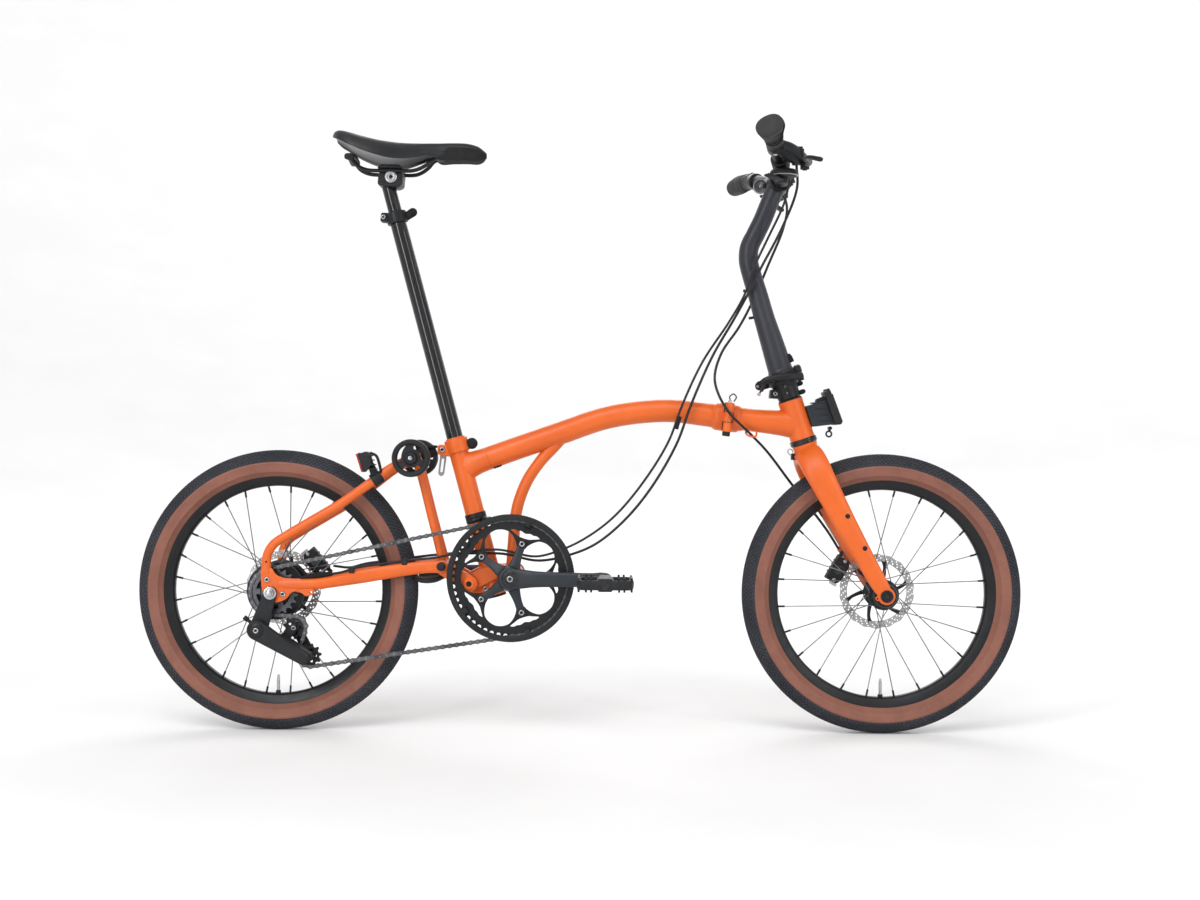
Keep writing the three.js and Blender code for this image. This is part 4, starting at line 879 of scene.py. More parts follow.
def crankset():
    piece = finish_of("crankset", "crank", "charcoal_paint")
    piece.place = Matrix.Translation(CRANK_AXIS)
    piece.cross(0, 0, -64, 84, 12.3, SATIN, edge=1.0, sides=48)
    piece.turned([(12, -50.5), (24, -50.5), (25, -54), (22, -66), (20, -74.5), (12, -74.5)], CHARCOAL,
                 corner=3.0)
    for i in range(5):
        piece.place = Matrix.Translation(CRANK_AXIS) @ Matrix.Rotation(-TAU * i / 5, 4, "Y")
        piece.tube([(8, -60, 0), (24, -58.5, 0), (42, -55.4, 0), (58, -53.8, 0), (69, -53.6, 0)],
                   [(5.6, 15), (5.0, 10.5), (4.0, 7.6), (3.3, 7.4), (3.0, 7.6)], CHARCOAL, across=ACROSS,
                   square=2.8, sides=32, steps=8, edge=2.4)
        piece.bolt(65, 0, -56.4, -1, 5.6, 2.8, ring=7.4)
        piece.cross(65, 0, -56, -45.0, 4.6, STEEL, edge=0.6, sides=20)
    piece.place = Matrix.Translation(CRANK_AXIS)
    crank_arm(piece, -1)
    piece.turned([(6.5, -74), (12.5, -74), (13.5, -77.2), (12, -78.2), (6.5, -78.2)], GLOSS, sides=48,
                 corner=0.8)
    piece.bolt(0, 0, -75.5, -1, 6.6, 3.0)
    return piece.make()


def left_crank():
    piece = finish_of("left_crank", "crank", "charcoal_paint")
    piece.place = Matrix.Translation(CRANK_AXIS) @ Matrix.Rotation(math.pi, 4, "Y")
    crank_arm(piece, 1)
    piece.turned([(12.4, 56), (18, 56), (20, 62), (20, 74.5), (12.4, 74.5)], CHARCOAL, corner=2.5)
    piece.turned([(5, 74), (12.5, 74), (13.5, 77.4), (5, 78.2)], GLOSS, sides=48, corner=0.8)
    piece.bolt(0, 0, 76.5, 1, 6.6, 3.0)
    for z in (-7.0, 7.0):
        piece.place = Matrix.Translation(CRANK_AXIS + Vector((-15, 70, z)))
        piece.rod((0, 0, -9), (0, 0, 9), 2.4, STEEL, sides=16)
    return piece.make()


def pedal(name, body, centre, side):
    """A platform pedal: a hollow body, cross bars, grip studs and an end cap."""
    piece = finish_of(name, body, "black_plastic")
    flip = Matrix.Translation(centre) @ Matrix.Scale(side, 4, ACROSS)
    piece.place = flip @ Matrix.Rotation(math.radians(90), 4, "X")

    def flat(corners, z0, z1, material, holes=(), edge=1.2):
        """A plate lying flat: corners are (x, distance from the middle plane)."""
        piece.plate([(x, -y) for x, y in corners], z0, z1, material,
                    [[(x, -y) for x, y in h] for h in holes], edge)

    body_line = soften([(-45, 106), (-49, 118), (-49, 176), (-43, 190), (43, 190), (49, 176), (49, 118),
                        (45, 106)], 9, 5)
    windows = []
    for way in sides():
        windows.append(soften([(way * 15, 114), (way * 39, 116), (way * 41.5, 122), (way * 41.5, 172),
                               (way * 38, 181), (way * 15, 182)], 4, 4))
    flat(body_line, -8.5, 8.5, PLASTIC, windows, 2.6)
    flat(soften([(-11, 104), (11, 104), (13, 188), (-13, 188)], 4, 4), -11.5, 11.5, SATIN, edge=3.0)
    piece.place = flip
    pins = [(45.6, 116 + 11.2 * k, STEEL if k % 3 == 1 else SATIN) for k in range(7)]
    pins += [(x, y, SATIN) for x in (24, 33) for y in (108.5, 186)]
    for way in sides():
        for x, y, material in pins:
            for up in (-1, 1):
                piece.rod((way * x, y, up * 7), (way * x, y, up * 11.6), 1.9, material, edge=0.6, sides=12)
        piece.block((way * 49 - 0.8, 128, -4.6), (way * 49 + 0.8, 166, 4.6), GLOSS, corner=0.9)
    piece.cross(0, 0, 80, 106, 5.3, STEEL, edge=0.8)
    piece.turned([(0.01, 93.6), (9.5, 93.6), (9.8, 97), (8.4, 104.5), (0.01, 104.5)], STEEL, sides=36,
                 corner=0.9, closed=False)
    piece.turned([(0.01, 186), (7.4, 186), (7.4, 190), (6.2, 191.2), (0.01, 191.2)], GLOSS, sides=36,
                 closed=False)
    return piece.make()


# ---- main frame ------------------------------------------------------------------------

HINGE_LEAN = math.atan2(abs(JOINTS["frame_fold"]["axis"][0]), abs(JOINTS["frame_fold"]["axis"][2]))
HINGE_PLACE = Matrix.Translation(HINGE_PIN) @ Matrix.Rotation(HINGE_LEAN, 4, "Y")


def hinge_half(piece, sign, knuckles):
    """A swollen tube end that meets the other half at the hinge's plane, and its knuckles."""
    piece.place = HINGE_PLACE
    middle = -HINGE_PIN.y
    stations = [(0.35, 24.6), (2, 25.2), (11, 25.2), (19, 24.8), (22, 23.6), (25, 21.6), (30, 20.9)]
    spots = [(sign * x, middle, 0) for x, _ in stations]
    piece.tube(spots, [(r - 0.6, r) for _, r in stations], ORANGE, across=ACROSS, square=2.3, sides=56,
               steps=4, edge=0.5)
    piece.rod((sign * 0.05, middle, 0), (sign * 0.45, middle, 0), 25.4, SATIN, edge=0.1, sides=56)
    for rise0, rise1 in knuckles:
        piece.rod((0, 0, rise0), (0, 0, rise1), 8.6, ORANGE, edge=0.6)
        high = sign * 9.0
        piece.block((min(sign * 0.4, high), 0, rise0), (max(sign * 0.4, high), 20, rise1), ORANGE,
                    corner=1.0)
    piece.place = NO_MOVE


def main_frame():
    piece = finish_of("main_frame", "main_frame", "orange_paint")
    piece.tube([seat(249), seat(300), seat(420), seat(536)], 17.7, ORANGE, across=ACROSS, sides=56,
               edge=1.0)
    piece.turned([(17, -34.4), (20.4, -34.4), (20.8, -31), (20.8, 31), (20.4, 34.4), (17, 34.4)], ORANGE,
                 (CRANK_AXIS.x, 0, CRANK_AXIS.z))
    lug = [(-214, 258), (-178, 247), (-150, 252), (-128, 264), (-112, 283), (-122, 304), (-168, 308),
           (-206, 290)]
    piece.plate(soften(lug, 9, 5), -15, 15, ORANGE, edge=3.5)
    for side in sides():
        ear = link(REAR_PIVOT.x, REAR_PIVOT.z, 15, -160, 292, 14)
        piece.plate(ear, side * 15, side * 24, ORANGE, edge=1.4)
        piece.bolt(-172, 262, side * 24, side, 4.4, 2.4)
    piece.cross(REAR_PIVOT.x, REAR_PIVOT.z, -24, 24, 14, ORANGE, edge=1.5)
    tube = [(-222, 0, 480), (-132, 0, 513), (-40, 0, 545.5), (52, 0, 576.5), (155, 0, 588.8),
            (243, 0, 580.6)]
    piece.tube(tube, [(17, 21), 20.9, 20.9, 20.7, 20.8, 21.4], ORANGE, across=ACROSS, sides=64, steps=10)
    flare = [(-216, 0, 482), (-207, 0, 485.4), (-198, 0, 488.8), (-187, 0, 493), (-170, 0, 499.2)]
    piece.tube(flare, [(17, 30), (18.5, 26.4), (20, 23.6), (20.9, 21.8), (20.9, 21)], ORANGE, across=ACROSS,
               sides=64)
    strut = [(-28, 0, 548), (-51, 0, 521.5), (-74.4, 0, 494.5), (-96.6, 0, 461.7), (-111.3, 0, 427),
             (-118.6, 0, 397), (-122.5, 0, 350), (-124, 0, 296)]
    piece.tube(strut, [12.5, 11.8, 10.7, 10.6, 10.6, 10.6, 10.8, 12.5], ORANGE, across=ACROSS, sides=44)
    hinge_half(piece, -1, [(-9, 9)])
    return piece.make()


def main_frame_fittings():
    """Small fittings on the main frame: rubber bumper, cable band, plug and end ring."""
    piece = Piece("main_frame_fittings", "main_frame", "black_rubber")
    piece.turned([(0.01, -11), (8, -10), (10.4, -5), (10.4, 5), (8, 10), (0.01, 11)], RUBBER,
                 (-200.5, 0, 526.5), sides=40, corner=3, closed=False)
    piece.block((-212, -6, 519), (-199, 6, 534), RUBBER, corner=3)
    piece.rod(seat(383), seat(397.5), 19.6, SATIN, edge=1.2, sides=56)
    piece.rod(seat(386), seat(388), 20.1, GLOSS, edge=0.5, sides=56)
    piece.block((-179, -24, 383), (-163, -8, 393), SATIN, corner=2)
    piece.bolt(-168, 391, -24, -1, 2.6, 1.6)
    piece.rod(seat(246.5), seat(249.5), 18.3, SATIN, edge=0.8, sides=56)
    piece.tube([(-158, -6, 482.5), (-147, -6, 486.5)], (4, 2.2), PLASTIC, across=ACROSS, sides=20, steps=4,
               edge="dome")
    return piece.make()


def hinge_pin():
    piece = finish_of("frame_hinge_pin", "main_frame", "satin_black")
    piece.place = HINGE_PLACE
    piece.rod((0, 0, -33), (0, 0, -27.4), 7.2, SATIN, edge=1.6)
    piece.rod((0, 0, -30), (0, 0, 30.5), 3.4, STEEL, edge=0.8)
    for way in sides():
        piece.rod((0, 0, way * 8.9), (0, 0, way * 9.7), 9.0, SATIN, edge=0.1)
        piece.block((-9.4, -4, min(way * 9.4, way * 25)), (-8.2, 3, max(way * 9.4, way * 25)), SATIN,
                    corner=0.3)
    piece.block((8.2, -4, -9.2), (9.4, 3, 9.2), SATIN, corner=0.3)
    piece.tube([(0, 0, 30), (-2, -1, 37), (4, -1, 43), (10, -1, 38), (7, 0, 30)], 1.4, CHAIN_STEEL,
               sides=12)
    return piece.make()


def hinge_lever():
    """The over-centre lever on the left: a pivot barrel and a curved handle."""
    piece = finish_of("frame_hinge_lever", "frame_hinge_lever", "satin_black")
    piece.place = HINGE_PLACE
    y = 73.0
    piece.rod((-14, y, -15), (-14, y, 15), 7.5, SATIN, edge=1.2)
    piece.tube([(-14, y + 1, 0), (8, y + 3, 0), (34, y + 1.5, 0), (58, y + 1, 0), (68, y + 2, 0)],
               [(11, 3.4), (10.5, 3.1), (10, 3.0), (10, 3.2), (8.5, 3.6)], SATIN, across=UPWARD, square=3,
               sides=36)
    piece.tube([(10, y + 5.2, 0), (54, y + 4.2, 0)], [(5.5, 1.4), (5.0, 1.4)], GLOSS, across=UPWARD,
               square=3)
    return piece.make()


def hinge_bracket():
    piece = Piece("frame_hinge_bracket", "main_frame", "orange_paint")
    piece.place = HINGE_PLACE
    for way in sides():
        piece.block((-21, 58, way * 17.6 - 2), (-8, 79, way * 17.6 + 2), ORANGE, corner=1.8)
    piece.block((-26, 54, -20), (-6, 65, 20), ORANGE, corner=2.5)
    piece.rod((-14, 73, -22), (-14, 73, 22), 3.0, STEEL, edge=0.6)
    return piece.make()


def seat_clamp():
    piece = finish_of("seat_clamp", "main_frame", "orange_paint")
    piece.place = standing(seat(522), SEAT_UP)
    band = [(17.7, -12.5), (20.8, -12.5), (21.4, -10.5), (21.4, 10.5), (20.8, 12.5), (17.7, 12.5)]
    piece.turned(band, ORANGE, sides=72, corner=0.9)
    piece.place = NO_MOVE
    for side in sides():
        piece.plate(soften([(-263, 505.5), (-236, 501), (-232, 523), (-262, 524)], 5, 4), side * 1.6,
                    side * 12.5, ORANGE, edge=2.2)
    piece.bolt(-253.6, 514.5, -12.5, -1, 5.4, 3.6)
    piece.cross(-253.6, 514.5, -12, 17, 3.6, STEEL)
    return piece.make()


def seat_clamp_lever():
    """A bright quick-release lever with a lightening slot, hanging on the left."""
    piece = finish_of("seat_clamp_lever", "seat_clamp_lever", "steel")
    piece.rod((-260, 22, 514.5), (-247.2, 22, 514.5), 6.4, STEEL, edge=1.2)
    way = Vector((-6.4, 6, -48.5)).normalized()
    turn = Vector((0, 0, -1)).rotation_difference(way).to_matrix().to_4x4()
    piece.place = Matrix.Translation((-253.6, 22, 514)) @ turn
    blade = soften([(-6, 0), (-5.5, -46), (0, -50), (5.5, -46), (6, 0)], 4, 4)
    slot = soften([(-2.4, -16), (-2.4, -42), (2.4, -42), (2.4, -16)], 2, 3)
    piece.plate(blade, -2.6, 2.6, ALLOY, [slot], edge=0.9)
    return piece.make()


def bottom_bracket():
    piece = finish_of("bottom_bracket", "main_frame", "satin_black")
    for side in sides():
        profile = sided([(12.8, 38), (18.2, 38), (18.8, 36.6), (18.8, 34.6), (12.8, 34.6)], side)
        piece.turned(profile, SATIN, CRANK_AXIS, sides=64, corner=0.7)
        studs(piece, 16, 18, side * 35, side * 37.6, 1.4, SATIN, 0.3, 8, (CRANK_AXIS.x, CRANK_AXIS.z))
    return piece.make()


# ---- front frame, headset and carrier block ------------------------------------------------


def front_frame():
    piece = finish_of("front_frame", "front_frame", "orange_paint")
    piece.tube([(282, 0, 576), (312, 0, 573), (345, 0, 570), (370, 0, 568), (388, 0, 567), (400, 0, 568)],
               [20.8, 20.8, (21.4, 22), (21.6, 24), (21.2, 27), (19, 30)], ORANGE, across=ACROSS, sides=64,
               steps=10)
    piece.tube([steer(538), steer(552), steer(595), steer(608.6)], [22.9, 22.4, 22.4, 22.9], ORANGE,
               across=ACROSS, sides=64, edge=1.0)
    hinge_half(piece, 1, [(-26, -9.6), (9.6, 26)])
    piece.tube([(302, -14, 556), (301, -24, 548), (307, -29, 543), (318, -27, 543), (321, -16, 553)], 1.7,
               ORANGE, sides=14)
    return piece.make()


def headset():
    piece = finish_of("headset_lower", "front_frame", "satin_black")
    piece.place = standing(steer(534.5), STEER_UP)
    piece.turned([(16, -5), (23.8, -5), (25.4, -3.4), (25.4, 0.4), (24.8, 1), (25.4, 1.6), (25.2, 4.4),
                  (24.2, 5.4), (16, 5.4)], GLOSS, sides=80, corner=0.6)
    piece.place = standing(steer(610.6), STEER_UP)
    piece.turned([(15.5, -2), (22, -2), (22.4, 0), (20, 2.2), (15.5, 2.2)], SATIN, sides=80, corner=0.8)
    return piece.make()


def carrier_block():
    piece = finish_of("carrier_block", "front_frame", "black_plastic")
    piece.plate(soften([(411, 599), (423, 561), (465, 566), (451, 611)], 2.5, 4), -14, 14, CHARCOAL,
                edge=1.6)
    piece.plate(soften([(429, 602), (431, 612), (447, 619), (449, 606)], 2, 4), -10, 10, PLASTIC, edge=1.4)
    for k in range(4):
        x, z = 457.5 - 4.6 * k, 572 + 11 * k
        piece.block((x - 22, -14.8, z - 0.8), (x, 14.8, z + 0.8), PLASTIC, corner=0.7)
    piece.plate(soften([(443, 625), (454, 629), (477, 569), (474, 565.5), (463, 565)], 2.6, 4), -25, 25,
                PLASTIC, edge=2.2)
    for y in (-17, 17):
        piece.plate(soften([(447, 630), (452.5, 632), (456, 623), (449, 621)], 1.2, 3), y - 5, y + 5,
                    PLASTIC, edge=1)
    piece.plate(soften([(456.5, 621), (459, 622), (478, 571), (475.6, 570)], 0.8, 3), -21, 21, GLOSS,
                edge=0.8)
    return piece.make()


def carrier_latch():
    piece = finish_of("carrier_latch", "carrier_latch", "black_plastic")
    piece.cross(457, 559, -9, 9, 3.2, SATIN)
    piece.tube([(457, 0, 559), (456.4, 0, 555), (456, 0, 553)], [(5, 2.6), (4, 2.2), (3, 2)], PLASTIC,
               across=ACROSS, square=3)
    ring = [(455.4 + 5 * math.cos(TAU * i / 24), 0, 548.4 + 5 * math.sin(TAU * i / 24)) for i in range(24)]
    piece.tube(ring + ring[:1], 1.7, CHARCOAL, sides=14, steps=1, edge=0.1)
    return piece.make()


# ---- fork ---------------------------------------------------------------------------


def fork():
    piece = finish_of("fork", "fork", "orange_paint")
    piece.tube([steer(519), steer(529.8)], [21.5, 23.2], ORANGE, across=ACROSS, sides=56, steps=4, edge=1.0)
    piece.rod(steer(520), steer(640), 14.2, STEEL)
    for side in sides():
        piece.tube(mirrored([(411, -6, 514), (417, 24, 508), (424, 42, 492), (433, 50.5, 472),
                             (465, 53, 411), (505, 54, 339.5), (541, 55, 276), (550, 55, 262)], side),
                   [(16, 22), (14, 25), (12, 25.5), (10.8, 24.6), (8.8, 21.2), (7.6, 17.6), (5.2, 15.2),
                    (4.4, 13)], ORANGE, across=ACROSS, square=2.5, sides=56, steps=10, edge=2.5)
        piece.turned(sided([(6.6, 50.4), (15.2, 50.4), (15.8, 52), (15.8, 57.4), (14.6, 59), (6.6, 59)],
                           side), ORANGE, (FRONT_AXLE.x, 0, FRONT_AXLE.z), corner=1.0)
        eyelet = link(538, 252, 4.6, 548, 258, 6)
        piece.plate(eyelet, side * 52, side * 57, ORANGE, [circle(537.6, 251.8, 2.2, 16)], edge=0.9)
        for x, z, y in ((481, 400, 61.8), (512.5, 342.5, 61.4)):
            piece.turned(sided([(0.01, y - 3), (4.4, y - 3), (4.4, y + 0.4), (3.2, y + 1.4),
                                (0.01, y + 1.4)], side), SATIN, (x, 0, z), sides=24, closed=False)
    piece.plate(soften([(490, 348), (534, 290), (524, 282), (480, 332)], 4, 4), 52.6, 57, ORANGE, edge=1.2)
    piece.rod((424, 0, 521), (431, 0, 523.5), 5.2, SATIN, edge=1.5)
    piece.block((386, -6, 500), (398, 6, 512), SATIN, corner=2)
    piece.tube([(386, -3, 508), (380, -3, 514), (382, -3, 520), (388, -3, 518), (389, -3, 510)], 1.1, STEEL,
               sides=12)
    return piece.make()


def front_axle():
    piece = finish_of("front_axle", "fork", "satin_black")
    piece.cross(FRONT_AXLE.x, FRONT_AXLE.z, -61, 61, 6, SATIN)
    profile = [(4.6, -59), (11.2, -59), (11.2, -61.6), (9.8, -63), (4.6, -63)]
    piece.turned(profile, SATIN, FRONT_AXLE, sides=56, corner=0.7)
    piece.turned([(0.01, -61), (4.6, -61), (4.6, -62.2), (0.01, -62.2)], GLOSS, FRONT_AXLE, sides=6,
                 corner=0.2, closed=False)
    piece.turned([(0.01, 59.4), (11.2, 59.4), (11.2, 61.6), (8, 63), (0.01, 63)], SATIN, FRONT_AXLE,
                 sides=6, corner=0.6, closed=False)
    return piece.make()


def caliper(name, body, x, z, tilt):
    """A flat-mount caliper: two piston housings, the bridge, fins, bolts and a bleed port."""
    piece = finish_of(name, body, "satin_black")
    piece.place = Matrix.Translation((x, ROTOR_Y, z)) @ Matrix.Rotation(tilt, 4, "Y")
    for way in sides():
        shell = soften([(-14, -24), (10, -25), (15, -14), (15, 14), (10, 25), (-14, 24)], 5, 5)
        piece.plate(shell, way * 2.6, way * 10, SATIN, edge=1.8)
        piece.turned([(0.01, way * 9.6), (9.5, way * 9.6), (9.5, way * 11), (8, way * 12),
                      (0.01, way * 12)], GLOSS, sides=36, closed=False)
        for k in range(4):
            z0 = -13 + 8 * k
            piece.block((-15.4, way * 5 - 3.4, z0), (-11, way * 5 + 3.4, z0 + 4), SATIN, corner=0.8)
    piece.block((-15, -3.2, -25), (-5, 3.2, 25), SATIN, corner=2)
    for z0 in (-20, 20):
        piece.cross(2, z0, -11.4, 11.4, 3.4, STEEL, edge=0.7, sides=20)
    piece.block((-2, -2, -30), (13, 2, -24), STEEL, corner=1)
    piece.rod((-8, 4, 24), (-10, 5, 33), 4.2, SATIN, end_radius=3.0)
    return piece.make()


# ---- stem ----------------------------------------------------------------------------

STEM_PLACE = Matrix.Translation(steer(650)) @ Matrix.Rotation(-math.atan2(STEER_UP.x, STEER_UP.z), 4,
        "Y").inverted()
STEM_PLACE = STEM_PLACE @ Matrix.Rotation(math.pi / 4, 4, "Z")
PIN_N = 45.0


def tilted_plate(piece, outline, z0, z1, material, edge):
    """A plate square to the stem's own axis: the outline is (u, n) in the hinge's frame."""
    piece.place = STEM_PLACE @ Matrix.Rotation(math.radians(-90), 4, "X") @ Matrix.Scale(-1, 4, UPWARD)
    piece.plate(outline, z0, z1, material, edge=edge)


def stem_hinge_outline(radius):
    """A round plate with the square ear that carries the hinge pin."""
    return arc(0, 0, radius, 160, 380, 30) + [(19.5, 30), (12, 38), (-12, 38), (-19.5, 30)]


def stem_base():
    piece = finish_of("stem_base", "fork", "satin_black")
    piece.tube([steer(613.8), steer(622), steer(634), steer(644)], [20.4, 21.2, 22.6, 26.5], SATIN,
               across=ACROSS, sides=64, steps=6, edge=1.0)
    tilted_plate(piece, stem_hinge_outline(29), -13, -0.4, SATIN, 2.2)
    piece.place = STEM_PLACE
    piece.rod((-8.4, PIN_N, 0), (8.4, PIN_N, 0), 7.6, SATIN, edge=0.8)
    piece.block((-8.4, 34, -9), (8.4, 46, -1), SATIN, corner=1.2)
    piece.rod((-21.5, PIN_N, 0), (21.5, PIN_N, 0), 2.9, STEEL, edge=0.8)
    piece.place = NO_MOVE
    piece.plate(soften([(345, 613), (368, 612), (368, 630), (347, 629)], 3, 4), -14.5, 14.5, SATIN, edge=2)
    piece.bolt(355, 621, -14.5, -1, 4.2, 2.4)
    for z in (622, 634):
        spot = steer(z, -19.5)
        piece.block((spot.x - 5, -23.5, z - 3.4), (spot.x + 6, -16, z + 3.6), GLOSS, corner=1.4)
    for z in (618, 633):
        spot = steer(z)
        piece.rod((spot.x + 17, 0, z + 5), (spot.x + 27, 0, z + 8.4), 4.4, RUBBER, edge="dome")
    return piece.make()


def stem_hinge_lever():
    piece = finish_of("stem_hinge_lever", "stem_hinge_lever", "satin_black")
    piece.place = STEM_PLACE
    piece.rod((0, -38, -13.4), (0, -38, 13.4), 6.2, SATIN, edge=1.2)
    piece.rod((0, -38, 12.6), (0, -38, 15.4), 4.2, STEEL, edge=0.8)
    piece.place = NO_MOVE
    piece.tube([(398, -30, 654), (386, -39, 652), (360, -42, 650), (338, -38, 646), (329, -34, 641)],
               [7, (7, 7.4), (6.4, 7), (5.6, 6.4), (5, 6)], SATIN, across=UPWARD, square=2.8, sides=36)
    piece.tube([(332, -36, 644), (331, -36, 634), (327, -36, 625)], [4.6, 3.6, 3.0], SATIN, sides=20)
    piece.rod((322.5, -40, 619), (322.5, -32, 619), 3.2, STEEL, edge=1)
    piece.tube([(327, -36, 626), (324.5, -36, 622.5), (322.5, -36, 620)], 1.8, SATIN, sides=14)
    return piece.make()


def stem():
    piece = finish_of("stem", "stem", "charcoal_paint")
    spots = [steer(662), (357.5, 0, 691), (348, 0, 721), (336, 0, 758), (323.5, 0, 802), (311, 0, 842),
             (305.5, 0, 866), (307, 0, 890), (318, 0, 914), (331, 0, 941), (344, 0, 974), (354, 0, 998)]
    radii = [22.4, 22, 20.8, 19.2, 18.2, 17.9, 17.8, 17.6, 17.4, 17.2, 17, 16.6]
    piece.tube(spots, radii, STEM_PAINT, across=ACROSS, sides=64)
    tilted_plate(piece, stem_hinge_outline(27.5), 0.4, 11, SATIN, 2.2)
    piece.place = STEM_PLACE
    piece.rod((0, 0, 8), (0, 0, 17), 25.5, STEM_PAINT, end_radius=22.5, edge=1.5, sides=64)
    for way in sides():
        piece.rod((way * 9.2, PIN_N, 0), (way * 19, PIN_N, 0), 7.6, SATIN, edge=0.8)
        piece.block((min(way * 9.2, way * 19), 33, 1), (max(way * 9.2, way * 19), 46, 9), SATIN, corner=1.2)
    piece.place = NO_MOVE
    piece.turned([(16.2, -25), (21.6, -25), (22.4, -22), (22.4, 22), (21.6, 25), (16.2, 25)], SATIN,
                 (362, 0, 1012), corner=1.2)
    for y in (-14, 14):
        piece.rod((377, y, 1030), (385, y, 1007), 4.2, SATIN)
        piece.rod((373, y, 1034), (375.5, y, 1027), 3.4, STEEL, edge=0.8)
    piece.tube([(383, -4, 680), (379, -4, 688), (377, -4, 692)], [(8, 7.4), (8, 7.4), (7, 6)], RUBBER,
               across=ACROSS, square=3, edge=1.6)
    for x, z in ((314.8, 811), (325.4, 761)):
        piece.rod((x - 18, 0, z - 1), (x - 2, 0, z + 2), 2.6, SATIN, edge=0.8)
    return piece.make()


# ---- handlebar and controls ------------------------------------------------------------

BAR = [(362, 0, 1012), (362, 45, 1012), (355, 90, 1021), (341, 140, 1037), (325, 215, 1049),
       (313, 286, 1054)]
GRIP_TILT = (-0.42, 0, 0.9)


def handlebar():
    piece = finish_of("handlebar", "stem", "satin_black")
    spots = [(x, -y, z) for x, y, z in reversed(BAR)] + BAR[1:]
    radii = [11.1, 11.1, 11.2, 13, 15.9, 15.9, 15.9, 13, 11.2, 11.1, 11.1]
    piece.tube(spots, radii, SATIN, across=UPWARD, sides=40, steps=12)
    return piece.make()


def grip(name, side):
    """A winged grip: it flattens towards the outer end, with a clamp collar at the inner end."""
    piece = finish_of(name, "stem", "black_rubber")
    spots = mirrored([(329, 192, 1046.5), (325, 212, 1049), (320, 236, 1050.6), (314.6, 262, 1051.6),
                      (310.5, 284, 1052.4)], side)
    piece.tube(spots, [15, (15, 15.6), (16.4, 17.6), (18, 20.6), (17.6, 23.4)], GRIP, across=GRIP_TILT,
               sides=48, steps=8, square=2.3, edge=5.0)
    piece.tube([(330.6, side * 184.6, 1045.6), (329.2, side * 193, 1046.6)], 15.6, SATIN, across=UPWARD,
               steps=2, edge=1.0)
    piece.rod((330, side * 189, 1059), (330, side * 189, 1063.2), 3.2, STEEL, edge=0.8)
    for k in range(6):
        y = 214 + 11 * k
        x, z = 325 - 0.18 * (y - 212), 1049 + 0.07 * (y - 212)
        wide, tall = 15.9 + 0.0016 * (y - 205) ** 2, 15.6 + 0.046 * (y - 205)
        piece.tube([(x, side * y, z), (x, side * (y + 3.4), z)], (tall, wide + 0.9), RUBBER,
                   across=GRIP_TILT, square=2.3, sides=48, steps=2, edge=1.0)
    return piece.make()


def lever_mount(name, side):
    """The hydraulic brake's master cylinder with its clamp ring, lid and adjusting screw."""
    piece = finish_of(name, "stem", "satin_black")
    piece.tube([(336, side * 160, 1040.5), (331.5, side * 182, 1044)], 15.6, SATIN, across=UPWARD, steps=3,
               edge=1.4)
    piece.tube(mirrored([(342, 176, 1040), (354, 166, 1036), (370, 152, 1030), (384, 141, 1025)], side),
               [(12, 11), (14.5, 14), (14.5, 14), (11, 11)], SATIN, across=UPWARD, sides=36, square=2.4,
               edge=3.0)
    piece.block((357, min(side * 127, side * 163), 1027), (385, max(side * 127, side * 163), 1041), SATIN,
                corner=4)
    piece.block((359, min(side * 130, side * 160), 1040), (383, max(side * 130, side * 160), 1044.6), GLOSS,
                corner=2)
    for y in (134, 156):
        piece.rod((371, side * y, 1044), (371, side * y, 1046), 2.6, STEEL, edge=0.6, sides=20)
    piece.rod((388, side * 146, 1006), (388, side * 146, 1030), 4.2, SATIN, edge=1)
    piece.rod((334, side * 171, 1026), (334, side * 171, 1031), 4.0, STEEL, edge=1)
    piece.tube([(372, side * 128, 1024), (372, side * 121, 1021)], [5, 3.8], SATIN, sides=20, steps=3)
    return piece.make()


def brake_lever(name, side):
    piece = finish_of(name, name, "satin_black")
    piece.rod((388, side * 146, 1008), (388, side * 146, 1016), 8, SATIN, edge=1.4)
    spots = mirrored([(388, 146, 1013), (391, 166, 1013), (388, 195, 1012.5), (379, 225, 1011.5),
                      (384, 246, 1008), (397, 262, 1002)], side)
    radii = [(3.6, 7.4), (3.4, 6.6), (3.4, 5.8), (3.6, 5.2), (3.8, 5.4), (4.2, 6.2)]
    piece.tube(spots, radii, SATIN, across=UPWARD, sides=32, square=2.4, steps=10, edge="dome")
    for y in (180, 198, 214):
        x = 388 - 0.0079 * max(0, y - 180) ** 2
        piece.rod((x, side * y, 1007.6), (x, side * y, 1018.2), 1.9, GLOSS, edge=0.5, sides=16)
    return piece.make()


def shifter():
    """The gear shifter: a round pod under the bar with its clamp ring and cable barrel."""
    piece = finish_of("shifter", "stem", "black_plastic")
    piece.tube([(352.6, -98, 1023.4), (347, -119, 1030.5)], 16, PLASTIC, across=UPWARD, steps=3, edge=1.4)
    pod = Matrix.Translation((354, -124, 1003)) @ Matrix.Rotation(math.radians(90), 4, "X")
    piece.place = pod
    piece.turned([(0.01, -7), (20, -7), (24.2, -4.5), (24.8, 1), (22.4, 6.4), (12, 7.8), (0.01, 7.8)],
                 PLASTIC, sides=64, corner=2, closed=False)
    piece.turned([(22, -5.2), (25.2, -4.2), (25.2, -3), (22, -2)], ALLOY, sides=64, corner=0.4)
    piece.place = NO_MOVE
    piece.block((342, -118, 1006), (361, -103, 1022), PLASTIC, corner=3)
    piece.tube([(361, -114, 1004), (366, -106, 1003.4), (370, -99, 1002)], [5.4, 4.6, 3.4], SATIN, sides=24,
               steps=5)
    return piece.make()


